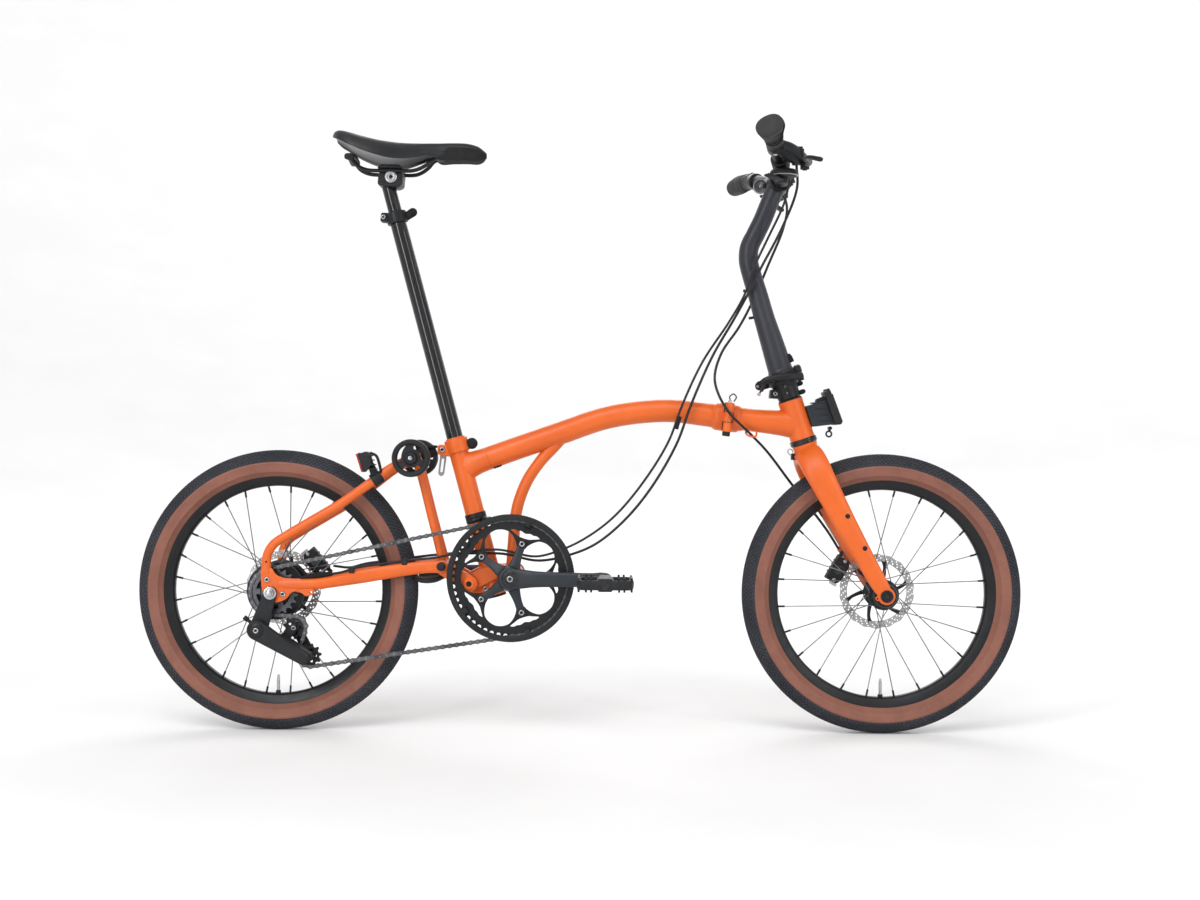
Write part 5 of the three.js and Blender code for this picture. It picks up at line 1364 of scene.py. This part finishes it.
def shift_lever():
    piece = finish_of("shift_lever", "shift_lever", "black_plastic")
    piece.rod((352, -124, 988), (352, -124, 995.4), 9.4, PLASTIC, edge=1.6)
    piece.tube([(352, -124, 992), (344, -136, 991), (334, -150, 991.6), (322, -162, 994)],
               [(3, 6), (3, 7.4), (2.8, 8.8), (2.4, 8.2)], PLASTIC, across=UPWARD, square=2.6, sides=32,
               edge=1.6)
    for k in range(4):
        piece.block((322 + 3.4 * k, -163 + 3.2 * k, 996 - 0.5 * k),
                    (324 + 3.4 * k, -150 + 3.2 * k, 997.4 - 0.5 * k), RUBBER, corner=0.6)
    return piece.make()


def bell():
    piece = finish_of("bell", "stem", "steel")
    piece.turned([(16.2, 30), (19.4, 30), (20, 34), (19.4, 38), (16.2, 38)], SATIN, (362, 0, 1012),
                 corner=0.8)
    piece.block((334, 31, 1005), (348, 37, 1014), SATIN, corner=2)
    dome = [(0.01, 52), (6.4, 51.6), (10.6, 48.6), (12.8, 42), (13.2, 31), (12.2, 31), (11.6, 41),
            (0.01, 48)]
    piece.turned(dome, ALLOY, (330, 0, 1008), sides=72, corner=1.2, closed=False)
    piece.rod((330, 30, 1008), (330, 54, 1008), 2.4, STEEL, edge=0.8)
    piece.tube([(342, 40, 1000), (338, 42, 994), (331, 42, 991)], [1.6, 1.6, 2.8], SATIN, sides=16)
    return piece.make()


# ---- rear frame ----------------------------------------------------------------------


def rear_frame():
    piece = finish_of("rear_frame", "rear_frame", "orange_paint")
    for side in sides():
        stay = [(-250, 302, 37), (-272, 302, 37), (-316, 297, 37), (-355, 291, 37), (-397, 284, 41),
                (-430, 278, 52), (-468, 272.5, 61), (-515, 271, 65), (-540, 272, 66)]
        sizes = [(6, 11.4), (6, 11.2), (6.2, 11.6), (6.4, 12.4), (6.8, 12.4), (8.2, 10.8), (8.8, 9.8),
                 (6, 9.6), (3.4, 9)]
        piece.tube([(x, side * y, z) for x, z, y in stay], sizes, ORANGE, across=ACROSS, sides=44, steps=8,
                   square=2.2)
        stay = [(-304, 499, 36), (-341, 481.5, 40), (-388, 447, 49.5), (-434, 414, 58), (-484, 384, 63),
                (-529, 357, 65), (-549, 343, 66), (-560, 325, 66), (-562.5, 302, 66), (-562.5, 286, 66)]
        piece.tube([(x, side * y, z) for x, z, y in stay],
                   [8.6, 8.6, 8.6, 8.6, 8.5, 8.3, 8.2, 8.1, (6.5, 8.6), (3.6, 9.6)], ORANGE, across=ACROSS,
                   sides=44)
        dropout = [(-571, 302), (-571, 270), (-565, 246), (-552, 238), (-537, 239), (-524, 246),
                   (-518, 256), (-500, 262), (-496, 281), (-530, 282), (-545, 288), (-553, 302)]
        tab = [(-517, 259), (-503, 262.5), (-478, 264), (-474, 259), (-481, 251), (-492, 250), (-498, 256)]
        hole = [circle(REAR_AXLE.x, REAR_AXLE.z, 5.6, 24)]
        piece.plate(soften(dropout, 7, 5), side * 63, side * 69, ORANGE, hole, edge=1.1)
        piece.plate(soften(tab, 3, 4), side * 63, side * 68, ORANGE, [circle(-482, 257, 2.4, 16)], edge=0.9)
        for x, z in ((-560.4, 279.7), (-532, 253.9)):
            piece.bolt(x, z, side * 69, side, 5.0, 2.2)
            piece.turned(sided([(5.2, 68.6), (6.6, 68.6), (6.6, 69.8), (5.2, 69.8)], side), ORANGE,
                         (x, 0, z), sides=32, corner=0.4)
        piece.cross(-561, 312, side * 66, side * 73.4, 2.0, GLOSS, edge=0.4, sides=16)
        yoke = link(REAR_PIVOT.x, REAR_PIVOT.z, 15, -252, 301, 12.4)
        piece.plate(yoke, side * 25.2, side * 36, ORANGE, edge=1.8)
        piece.bolt(-226, 286.5, side * 36, side, 4.4, 2.2)
        piece.turned(sided([(4, 35), (11, 35), (11, 37.6), (9.4, 38.8), (4, 38.8)], side), ORANGE,
                     REAR_PIVOT, sides=40, corner=0.8)
        piece.bolt(REAR_PIVOT.x, REAR_PIVOT.z, side * 38.4, side, 5.0, 2.0, SATIN)
        strut = [(-302, 496, 20), (-297, 484, 20), (-290, 462, 20), (-272, 392, 20.6), (-250, 310, 22)]
        piece.tube([(x, side * y, z) for x, z, y in strut], [8.4, 7.4, 7.1, 7.1, 7.6], ORANGE,
                   across=ACROSS, sides=36)
        piece.cross(-251, 303, side * 38, side * 44.6, 8.2, PLASTIC, edge=1.6)
    piece.cross(ROLLER_AXLE.x, ROLLER_AXLE.z, -44, 44, 9.4, ORANGE, edge=1.4)
    piece.cross(ROLLER_AXLE.x, ROLLER_AXLE.z, -78.5, 78.5, 3.9, STEEL, edge=0.8)
    piece.cross(-251, 303, -40, 40, 11.2, ORANGE, edge=2)
    piece.tube([(-302, 0, 279), (-288, 0, 276), (-266, 0, 277), (-250, 0, 283)],
               [(22, 4), (26, 6), (26, 6), (22, 5)], PLASTIC, across=ACROSS, square=3, sides=32)
    return piece.make()


def roller(name, side):
    """A small transport wheel: a rim, a web with three crescent windows, and its bolt."""
    piece = finish_of(name, name, "black_plastic")
    piece.place = Matrix.Translation(ROLLER_AXLE)
    rim_profile = [(25.6, 53), (32, 52.4), (34, 55), (34, 73), (32, 75.6), (25.6, 75), (25.6, 66),
                   (26.6, 64)]
    piece.turned(sided(rim_profile, side), PLASTIC, sides=96, corner=1.6)
    piece.turned(sided([(4.4, 52), (11.5, 52), (12, 56), (12, 72), (9.6, 75.6), (4.4, 75.6)], side),
                 PLASTIC, sides=64, corner=1.2)
    windows = [soften(arc(0, 0, 24.5, a - 42, a + 42, 10) + arc(0, 0, 17.5, a + 40, a - 40, 10), 2.4, 3)
               for a in (35, 155, 275)]
    piece.plate(circle(0, 0, 27, 72), side * 66, side * 70, PLASTIC, [*windows, circle(0, 0, 4.4, 24)],
                edge=0.9)
    piece.bolt(0, 0, side * 75.4, side, 5.4, 2.6, SATIN)
    return piece.make()


def suspension_block():
    piece = finish_of("suspension_block", "rear_frame", "black_rubber")
    a, b = Vector((-292, 0, 504.6)), Vector((-267.4, 0, 513.2))
    for k in range(4):
        start = a.lerp(b, 0.03 + 0.25 * k)
        piece.rod(start, a.lerp(b, 0.2 + 0.25 * k), 10.8, RUBBER, edge=2.4, sides=40)
    piece.rod(a.lerp(b, 0.05), a.lerp(b, 0.95), 8.6, RUBBER, sides=32)
    piece.block((-283, -15, 517.5), (-265, 15, 522.5), RUBBER, corner=2)
    return piece.make()


def rear_light():
    """The rear lamp: a red lens plate on a ribbed housing, clamped to the right seat stay."""
    piece = finish_of("rear_light", "rear_frame", "black_plastic")
    piece.rod((-374.5, -46.6, 457.4), (-361.5, -44.2, 466.6), 12.4, PLASTIC, edge=1.6, sides=40)
    piece.tube([(-372, -51, 470), (-376, -52, 482), (-383, -53, 494)], [(5, 7), (5, 6.4), (5, 6)], PLASTIC,
               across=ACROSS, square=3)
    shell = soften([(-397.4, 506), (-385, 511), (-379, 507), (-374.4, 489), (-379, 480), (-388, 475)], 3, 4)
    piece.plate(shell, -68, -42, PLASTIC, edge=1.6)
    for k in range(4):
        x, z = -389 + 2.7 * k, 503 - 8 * k
        piece.block((x, -69, z - 1), (x + 14, -41, z + 1), PLASTIC, corner=0.8)
    piece.plate(soften([(-400.6, 506.6), (-396.4, 508.4), (-385.6, 474.6), (-389.8, 473)], 1.2, 3), -69,
                -41, PLASTIC, edge=1.2)
    piece.plate(soften([(-403.8, 505.6), (-399.8, 507), (-389.2, 474.4), (-393, 473.2)], 1.2, 3), -67, -43,
                RED, edge=1.2)
    piece.tube([(-379, -50, 508), (-369, -50, 503), (-363, -50, 488), (-360, -49, 473)], (5, 2.4), PLASTIC,
               across=ACROSS, square=3, sides=24)
    piece.bolt(-371, 476, -57, -1, 3.2, 1.6, SATIN)
    return piece.make()


def rear_axle():
    piece = finish_of("rear_axle", "rear_frame", "steel")
    x, z = REAR_AXLE.x, REAR_AXLE.z
    piece.cross(x, z, -82, 79, 4.9, STEEL, edge=0.9)
    for side, low, high in ((-1, 76.4, 84), (1, 69.4, 77)):
        piece.plate(circle(x, z, 8.2, 6), side * low, side * high, STEEL, edge=1.1)
        piece.turned(sided([(5, low - 0.1), (11, low - 0.1), (11.4, low + 1.4), (5, low + 1.4)], side),
                     STEEL, REAR_AXLE, sides=48, corner=0.5)
        piece.turned(sided([(0.01, high), (6, high), (5.4, high + 2.4), (0.01, high + 2.8)], side),
                     STEEL, REAR_AXLE, sides=32, corner=0.8, closed=False)
    return piece.make()


def tensioner_hanger():
    piece = finish_of("tensioner_hanger", "rear_frame", "satin_black")
    x, z = TENSIONER.x, TENSIONER.z
    piece.plate(link(REAR_AXLE.x, REAR_AXLE.z, 11.5, x, z, 17), -76.4, -69.6, PLASTIC, edge=1.8)
    piece.cross(x, z, -90, -58, 6, SATIN)
    piece.rod((-595, -72.7, 209), (-583, -72.7, 199.5), 3.2, SATIN, edge=0.8)
    piece.rod((-599, -72.7, 212), (-594, -72.7, 208), 4.4, SATIN, edge=1.2)
    return piece.make()


def tensioner_arm():
    """The spring arm: a rounded outer cover, the housing behind it and the jockey cage."""
    piece = finish_of("tensioner_arm", "tensioner_arm", "satin_black")
    x, z = TENSIONER.x, TENSIONER.z
    low, high = JOCKEY_LOWER, JOCKEY_UPPER
    middle = (-534.7, 168.7)
    piece.plate(link(x, z, 18, low.x - 4, low.z - 2, 10.5), -92, -77.6, PLASTIC, edge=5.0)
    piece.turned([(0.01, -94.6), (9.5, -94.6), (13.5, -93), (14.5, -90), (0.01, -90)], SATIN, (x, 0, z),
                 sides=64, corner=1.2, closed=False)
    piece.bolt(x, z, -94.2, -1, 5.2, 2.2)
    piece.plate(link(*middle, 13, low.x, low.z, 9.5), -80, -55, PLASTIC, edge=2.4)
    piece.plate(link(*middle, 10, high.x, high.z, 7), -60, -55, SATIN, edge=1.4)
    piece.plate(link(high.x, high.z, 9.5, low.x, low.z, 10), -41.6, -38.4, SATIN, edge=1.0)
    for spot in (low, high):
        piece.cross(spot.x, spot.z, -56, -38, 3.6, STEEL, sides=20)
        piece.bolt(spot.x, spot.z, -38.4, 1, 4.6, 2.0)
    piece.bolt(high.x, high.z, -60, -1, 4.6, 2.0)
    return piece.make()


# ---- seat post and saddle --------------------------------------------------------------


def seatpost_outer():
    piece = finish_of("seatpost_outer", "seatpost_outer", "gloss_black")
    piece.tube([seat(392), seat(500), seat(700), seat(939.6)], 15, GLOSS, across=ACROSS, sides=72, edge=0.9)
    return piece.make()


def seatpost_ring():
    piece = finish_of("seatpost_ring", "seatpost_outer", "satin_black")
    piece.place = standing(seat(940), SEAT_UP)
    piece.turned([(15.1, -10.4), (18.6, -10.4), (19.4, -9), (19.4, 9), (18, 10.4), (12.9, 11.4), (12.9, 9),
                  (15.1, 8)], SATIN, sides=80, corner=0.9)
    piece.place = NO_MOVE
    for side in sides():
        piece.plate(soften([(-371, 932), (-350, 930), (-346, 948), (-369, 948.5)], 3.5, 4), side * 1.4,
                    side * 9.4, SATIN, edge=1.6)
    piece.bolt(-364.5, 940, -9.4, -1, 4.6, 3.0)
    piece.cross(-364.5, 940, -9, 13, 3.2, STEEL)
    piece.tube([(-331, 0, 936), (-320, 0, 945), (-312, 0, 950.5)], [6, (8, 7.6), 8.2], RUBBER,
               across=ACROSS, sides=32, edge="dome")
    return piece.make()


def seatpost_inner():
    piece = finish_of("seatpost_inner", "seatpost_inner", "satin_black")
    piece.tube([seat(690), seat(800), seat(1002)], 12.7, GLOSS, across=ACROSS, sides=64)
    head = [(-375, 998), (-360, 995), (-338, 993), (-330, 997), (-328, 1018), (-332, 1020.6),
            (-373, 1020.6)]
    piece.plate(soften(head, 4, 5), -20, 20, SATIN, edge=2.4)
    piece.plate(soften([(-375, 1026.6), (-328, 1026.6), (-334, 1033.6), (-368, 1034)], 3, 4), -27, 27,
                SATIN, edge=1.6)
    piece.block((-366, -13, 1016), (-338, 13, 1030), SATIN, corner=2)
    for side in sides():
        piece.turned(sided([(5, 20), (11, 20), (11.4, 22.4), (9.4, 23.8), (5, 23.8)], side), STEEL,
                     (-350, 0, 1012), sides=40, corner=0.9)
        piece.bolt(-350, 1012, side * 20.4, side, 6.8, 2.6)
    return piece.make()


def saddle_rails():
    piece = finish_of("saddle_rails", "seatpost_inner", "satin_black")
    for side in sides():
        route = [(-424, 1047, 30), (-412, 1032, 25), (-394, 1024, 22), (-350, 1023.3, 22),
                 (-308, 1023.3, 22), (-288, 1033, 17), (-274, 1046, 11), (-262, 1050, 9)]
        piece.tube([(x, side * y, z) for x, z, y in route], 3.5, SATIN, sides=24, steps=10)
    piece.tube([(-424, -34, 1046), (-424, 0, 1050), (-424, 34, 1046)], (9, 6), PLASTIC, across=FORWARD,
               square=3, sides=28)
    piece.tube([(-262, -13, 1050), (-262, 13, 1050)], (8, 5), PLASTIC, across=FORWARD, square=3, sides=24,
               steps=4)
    return piece.make()


# Each station along the saddle: x, half width, top and lower edge of the cover.
SADDLE = [(-455.5, 26, 1090.5, 1082), (-450, 44, 1094.6, 1077), (-440, 58, 1095.8, 1072),
          (-422, 69, 1091.6, 1062), (-400, 73, 1085.4, 1052), (-375, 71.5, 1079.6, 1043.8),
          (-350, 63, 1076.4, 1039), (-325, 49, 1075.2, 1040), (-298, 34, 1075.6, 1046),
          (-285, 28.6, 1076.2, 1050), (-272, 25.4, 1076.8, 1048), (-262, 23.6, 1077.2, 1042.6),
          (-238, 20.4, 1077.9, 1043), (-212, 18.6, 1076.6, 1043), (-194, 16.4, 1072, 1041.8),
          (-184, 12.6, 1065.6, 1045), (-177, 6.0, 1059.5, 1052)]
NOSE_PANEL_X = -268


def saddle():
    """A crowned, firmly padded cover over a glossy shell, with a seam line on each side, a
    relief channel along the middle and plain panels low on the nose."""
    piece = finish_of("saddle", "seatpost_inner", "saddle")
    half = 22
    rings = []
    for x, wide, top, low in smooth(SADDLE, 6):
        fade = min(1.0, max(0.0, (-215 - x) / 60)) * min(1.0, max(0.0, (x + 452) / 30))
        ring = []
        for k in range(-half, half + 1):
            t = k / half
            y = 1.004 * wide * math.sin(0.5 * math.pi * t * (1.0 - 0.06 * t * t))
            fall = (1 - math.cos(0.5 * math.pi * t)) ** 1.35
            seam = 0.9 * math.exp(-((abs(t) - 0.80) * 26) ** 2)
            channel = 2.4 * fade * math.exp(-((y / 7.5) ** 2))
            ring.append((x, y - math.copysign(seam, y), top - (top - low) * fall - channel))
        for k in range(half - 1, -half, -1):
            t = k / half
            hollow = 0.42 * (top - low) * (1 - t * t)
            lip = 2.6 * math.exp(-(((1 - abs(t)) * 14) ** 2))
            ring.append((x, 0.955 * wide * t, low + 1.5 + hollow - lip))
        rings.append(ring)
    piece.loft(rings, COVER)
    piece.materials += [GLOSS, RUBBER]
    under, panel, count = 2 * half, 9, len(rings[0])
    for index in range((len(rings) - 1) * count):
        ring, spot = divmod(index, count)
        if spot >= under:
            piece.indices[index] = 1
        elif rings[ring][0][0] > NOSE_PANEL_X + 2.4 * min(spot, under - 1 - spot) and min(spot,
                under - 1 - spot) < panel:
            piece.indices[index] = 2
    made = piece.make(60)
    return made


# ---- brake hoses and gear cable -----------------------------------------------------------

FRONT_HOSE = [(372, 120, 1022), (386, 96, 990), (374, 40, 932), (346, 27, 864), (320, 25, 802),
              (290, 4, 745), (256, -16, 695), (242, -38, 650), (248, -52, 618), (268, -54, 584),
              (291, -42, 562), (312, -14, 545), (345, 16, 514), (391, 38, 457), (430, 42, 408),
              (462, 44, 366), (482, 43, 334)]
REAR_HOSE = [(378, -112, 1022), (383, -80, 984), (362, -32, 920), (326, -27, 850), (304, -25, 805),
             (279, -16, 758), (240, -16, 690), (200, -34, 600), (175, -32, 530), (130, -28, 450),
             (82, -26, 390), (30, -26, 346), (-15, -26, 326), (-75, -27, 314), (-140, -28, 326),
             (-205, -24, 326), (-230, -4, 324), (-233, 18, 323.5), (-250, 35, 320.5), (-276, 38, 318),
             (-355, 38, 307.5), (-400, 43, 301), (-432, 50, 293), (-462, 48, 296)]
GEAR_CABLE = [(368.5, -101, 1003), (363, -60, 962), (336, -31, 900), (313, -28, 850), (296, -24, 800),
              (268, -20, 750), (222, -22, 680), (184, -40, 600), (158, -38, 530), (108, -34, 450),
              (58, -33, 392), (10, -33, 356), (-30, -33, 336), (-80, -33, 322), (-150, -34, 334),
              (-215, -37, 328), (-262, -39, 319), (-300, -38, 315), (-355, -39, 307.5), (-400, -44, 301),
              (-432, -54, 292), (-470, -58, 287), (-506, -57, 279)]


def cable(name, route, radius, cuts, node):
    """A held cable in stretches. A cut is (first point, last point, first body, last body);
    a stretch with one body just rides on it, and one with two bodies stays where it lies."""
    for number, (first, last, *bodies) in enumerate(cuts):
        piece = Piece(f"{name}_{number + 1}", bodies[0] if len(bodies) == 1 else None, "black_plastic",
                      *([node] if number == 0 else []))
        lead = route[first - 1 : first] if first else []
        tail = route[last + 1 : last + 2]
        line = smooth(lead + route[first : last + 1] + tail, 8)
        line = line[8 if lead else 0 : len(line) - (8 if tail else 0)]
        piece.tube([tuple(p) for p in line], radius, HOSE, sides=16, steps=1, edge=0.2)
        made = piece.make()
        if len(bodies) == 2:
            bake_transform(made)


def cables():
    cable("front_brake_hose_part", FRONT_HOSE, 2.4, [
        (0, 1, "stem"), (1, 6, "stem", "fork"), (6, 8, "fork", "front_frame"), (8, 12, "front_frame"),
        (12, 13, "front_frame", "fork"), (13, 16, "fork")], "front_brake_hose")
    cable("rear_brake_hose_part", REAR_HOSE, 2.4, [(0, 1, "stem"), (1, 6, "stem", "fork"),
                                                   (6, 8, "fork", "front_frame"),
                                                   (8, 10, "front_frame", "main_frame"),
                                                   (10, 15, "main_frame"), (15, 19, "main_frame",
            "rear_frame"), (19, 23, "rear_frame")], "rear_brake_hose")
    cable("gear_cable_part", GEAR_CABLE, 2.2, [(0, 1, "stem"), (1, 6, "stem", "fork"),
                                               (6, 8, "fork", "front_frame"),
                                               (8, 10, "front_frame", "main_frame"), (10, 14, "main_frame"),
                                               (14, 17, "main_frame", "rear_frame"),
                                               (17, 22, "rear_frame")], "gear_cable")
    clip = Piece("cable_clips_main", "main_frame", "black_plastic")
    clip.tube([(173, -36, 556), (179, -36, 577)], (6.4, 4), RUBBER, across=ACROSS, square=3, edge=1.2)
    clip.make()
    boot = Piece("cable_boots_rear", "rear_frame", "black_rubber")
    boot.tube([(-446, -56, 290), (-470, -58, 287), (-492, -57.6, 283), (-506, -57, 279)],
              [3.6, 5.4, 4.8, 3.0], RUBBER, sides=28)
    for x, z, y in ((-318, 312.6, -38), (-412, 298, -47), (-318, 312.8, 38)):
        boot.block((x - 5, y - 5.4, z - 7), (x + 5, y + 5.4, z + 4.4), PLASTIC, corner=1.6)
    boot.make()


# ---- stage ----------------------------------------------------------------------------


def stage():
    """A pale floor that sweeps up into a backdrop all round, and soft lights."""
    flat, wall, curve, levels, around = 3.0, 12.6, 0.098, 14, 96
    sweep = [flat + (wall - flat) * k / levels for k in range(levels + 1)]
    verts = []
    for reach in (0.01, 1.5, *sweep):
        height = curve * max(0.0, reach - flat) ** 2
        angles = [TAU * i / around for i in range(around)]
        verts += [(reach * math.cos(a), reach * math.sin(a), height) for a in angles]
    faces = [tuple(range(around))[::-1]]
    for base in range(0, len(verts) - around, around):
        for i in range(around):
            after = (i + 1) % around
            faces.append((base + i, base + after, base + around + after, base + around + i))
    mesh = bpy.data.meshes.new("studio_floor")
    mesh.from_pydata(verts, [], faces)
    mesh.polygons.foreach_set("use_smooth", [True] * len(faces))
    floor = bpy.data.objects.new("studio_floor", mesh)
    bpy.context.scene.collection.objects.link(floor)
    made = Surface("studio_paper", 0.9)
    made.colour((0.86, 0.86, 0.86), (0.88, 0.88, 0.88), made.spread(made.noise(3.0), 0.0, 1.0))
    mesh.materials.append(made.material)
    world = bpy.data.worlds.new("studio")
    bpy.context.scene.world = world
    world.use_nodes = True
    glow = world.node_tree.nodes["Background"]
    glow.inputs["Color"].default_value = (1, 1, 1, 1)
    glow.inputs["Strength"].default_value = 0.55
    broad = bpy.data.lights.new("broad", "SUN")
    broad.energy, broad.angle = 1.75, math.radians(50)
    lamp = bpy.data.objects.new("broad", broad)
    lamp.rotation_euler = Vector((0.25, 1.0, -0.95)).to_track_quat("-Z", "Y").to_euler()
    bpy.context.scene.collection.objects.link(lamp)
    lights = [
        ("key", (-1.6, -2.6, 1.5), (0.3, 2.6), 34),
        ("fill", (2.6, -2.4, 1.3), (0.3, 2.4), 20),
        ("left", (0.4, 3.4, 2.8), (3.0, 1.6), 45),
    ]
    for name, spot, (wide, high), power in lights:
        light = bpy.data.lights.new(name, "AREA")
        light.shape, light.size, light.size_y, light.energy = "RECTANGLE", wide, high, power
        lamp = bpy.data.objects.new(name, light)
        lamp.location = spot
        lamp.rotation_euler = (Vector((0, 0, 0.5)) - Vector(spot)).to_track_quat("-Z", "Y").to_euler()
        bpy.context.scene.collection.objects.link(lamp)


def camera():
    """The photo's camera: on the right side, square to the bicycle and slightly rolled."""
    data = bpy.data.cameras.new("camera")
    data.lens, data.sensor_width = 44.6, 36.0
    made = bpy.data.objects.new("camera", data)
    made.location = (0.035, -2.733, 0.516)
    made.rotation_euler = (math.radians(90), math.radians(-0.4), 0)
    bpy.context.scene.collection.objects.link(made)
    bpy.context.scene.camera = made
    bpy.context.scene.view_settings.view_transform = "Standard"


# ---- everything ----------------------------------------------------------------------

stage()
camera()
main_frame()
main_frame_fittings()
hinge_pin()
hinge_lever()
hinge_bracket()
seat_clamp()
seat_clamp_lever()
bottom_bracket()
front_frame()
headset()
carrier_block()
carrier_latch()
fork()
front_axle()
caliper("front_caliper", "fork", 480, 296, 0.54)
stem_base()
stem_hinge_lever()
stem()
handlebar()
for word, way in (("right", -1), ("left", 1)):
    grip("grip_" + word, way)
    lever_mount("lever_mount_" + word, way)
    brake_lever("brake_lever_" + word, way)
    roller("roller_" + word, way)
    spot = place_of(f"pedal_{word}_spin")
    pedal("pedal_" + word, "pedal_" + word, Vector((spot.x, 0, spot.z)), way)
shifter()
shift_lever()
bell()
tyre("front_tyre", "front_wheel", FRONT_AXLE, FRONT_SIDEWALL)
rim("front_rim", "front_wheel", FRONT_AXLE)
front_hub()
rotor("front_rotor", "front_wheel", FRONT_AXLE)
rear_frame()
suspension_block()
caliper("rear_caliper", "rear_frame", -493, 304, 2.46)
rear_light()
rear_axle()
tyre("rear_tyre", "rear_wheel", REAR_AXLE, REAR_SIDEWALL)
rim("rear_rim", "rear_wheel", REAR_AXLE)
rear_hub()
rotor("rear_rotor", "rear_wheel", REAR_AXLE)
sprocket()
tensioner_hanger()
tensioner_arm()
jockey("jockey_upper", "jockey_upper", JOCKEY_UPPER)
jockey("jockey_lower", "jockey_lower", JOCKEY_LOWER)
crankset()
left_crank()
chainring()
chain()
seatpost_outer()
seatpost_ring()
seatpost_inner()
saddle_rails()
saddle()
cables()
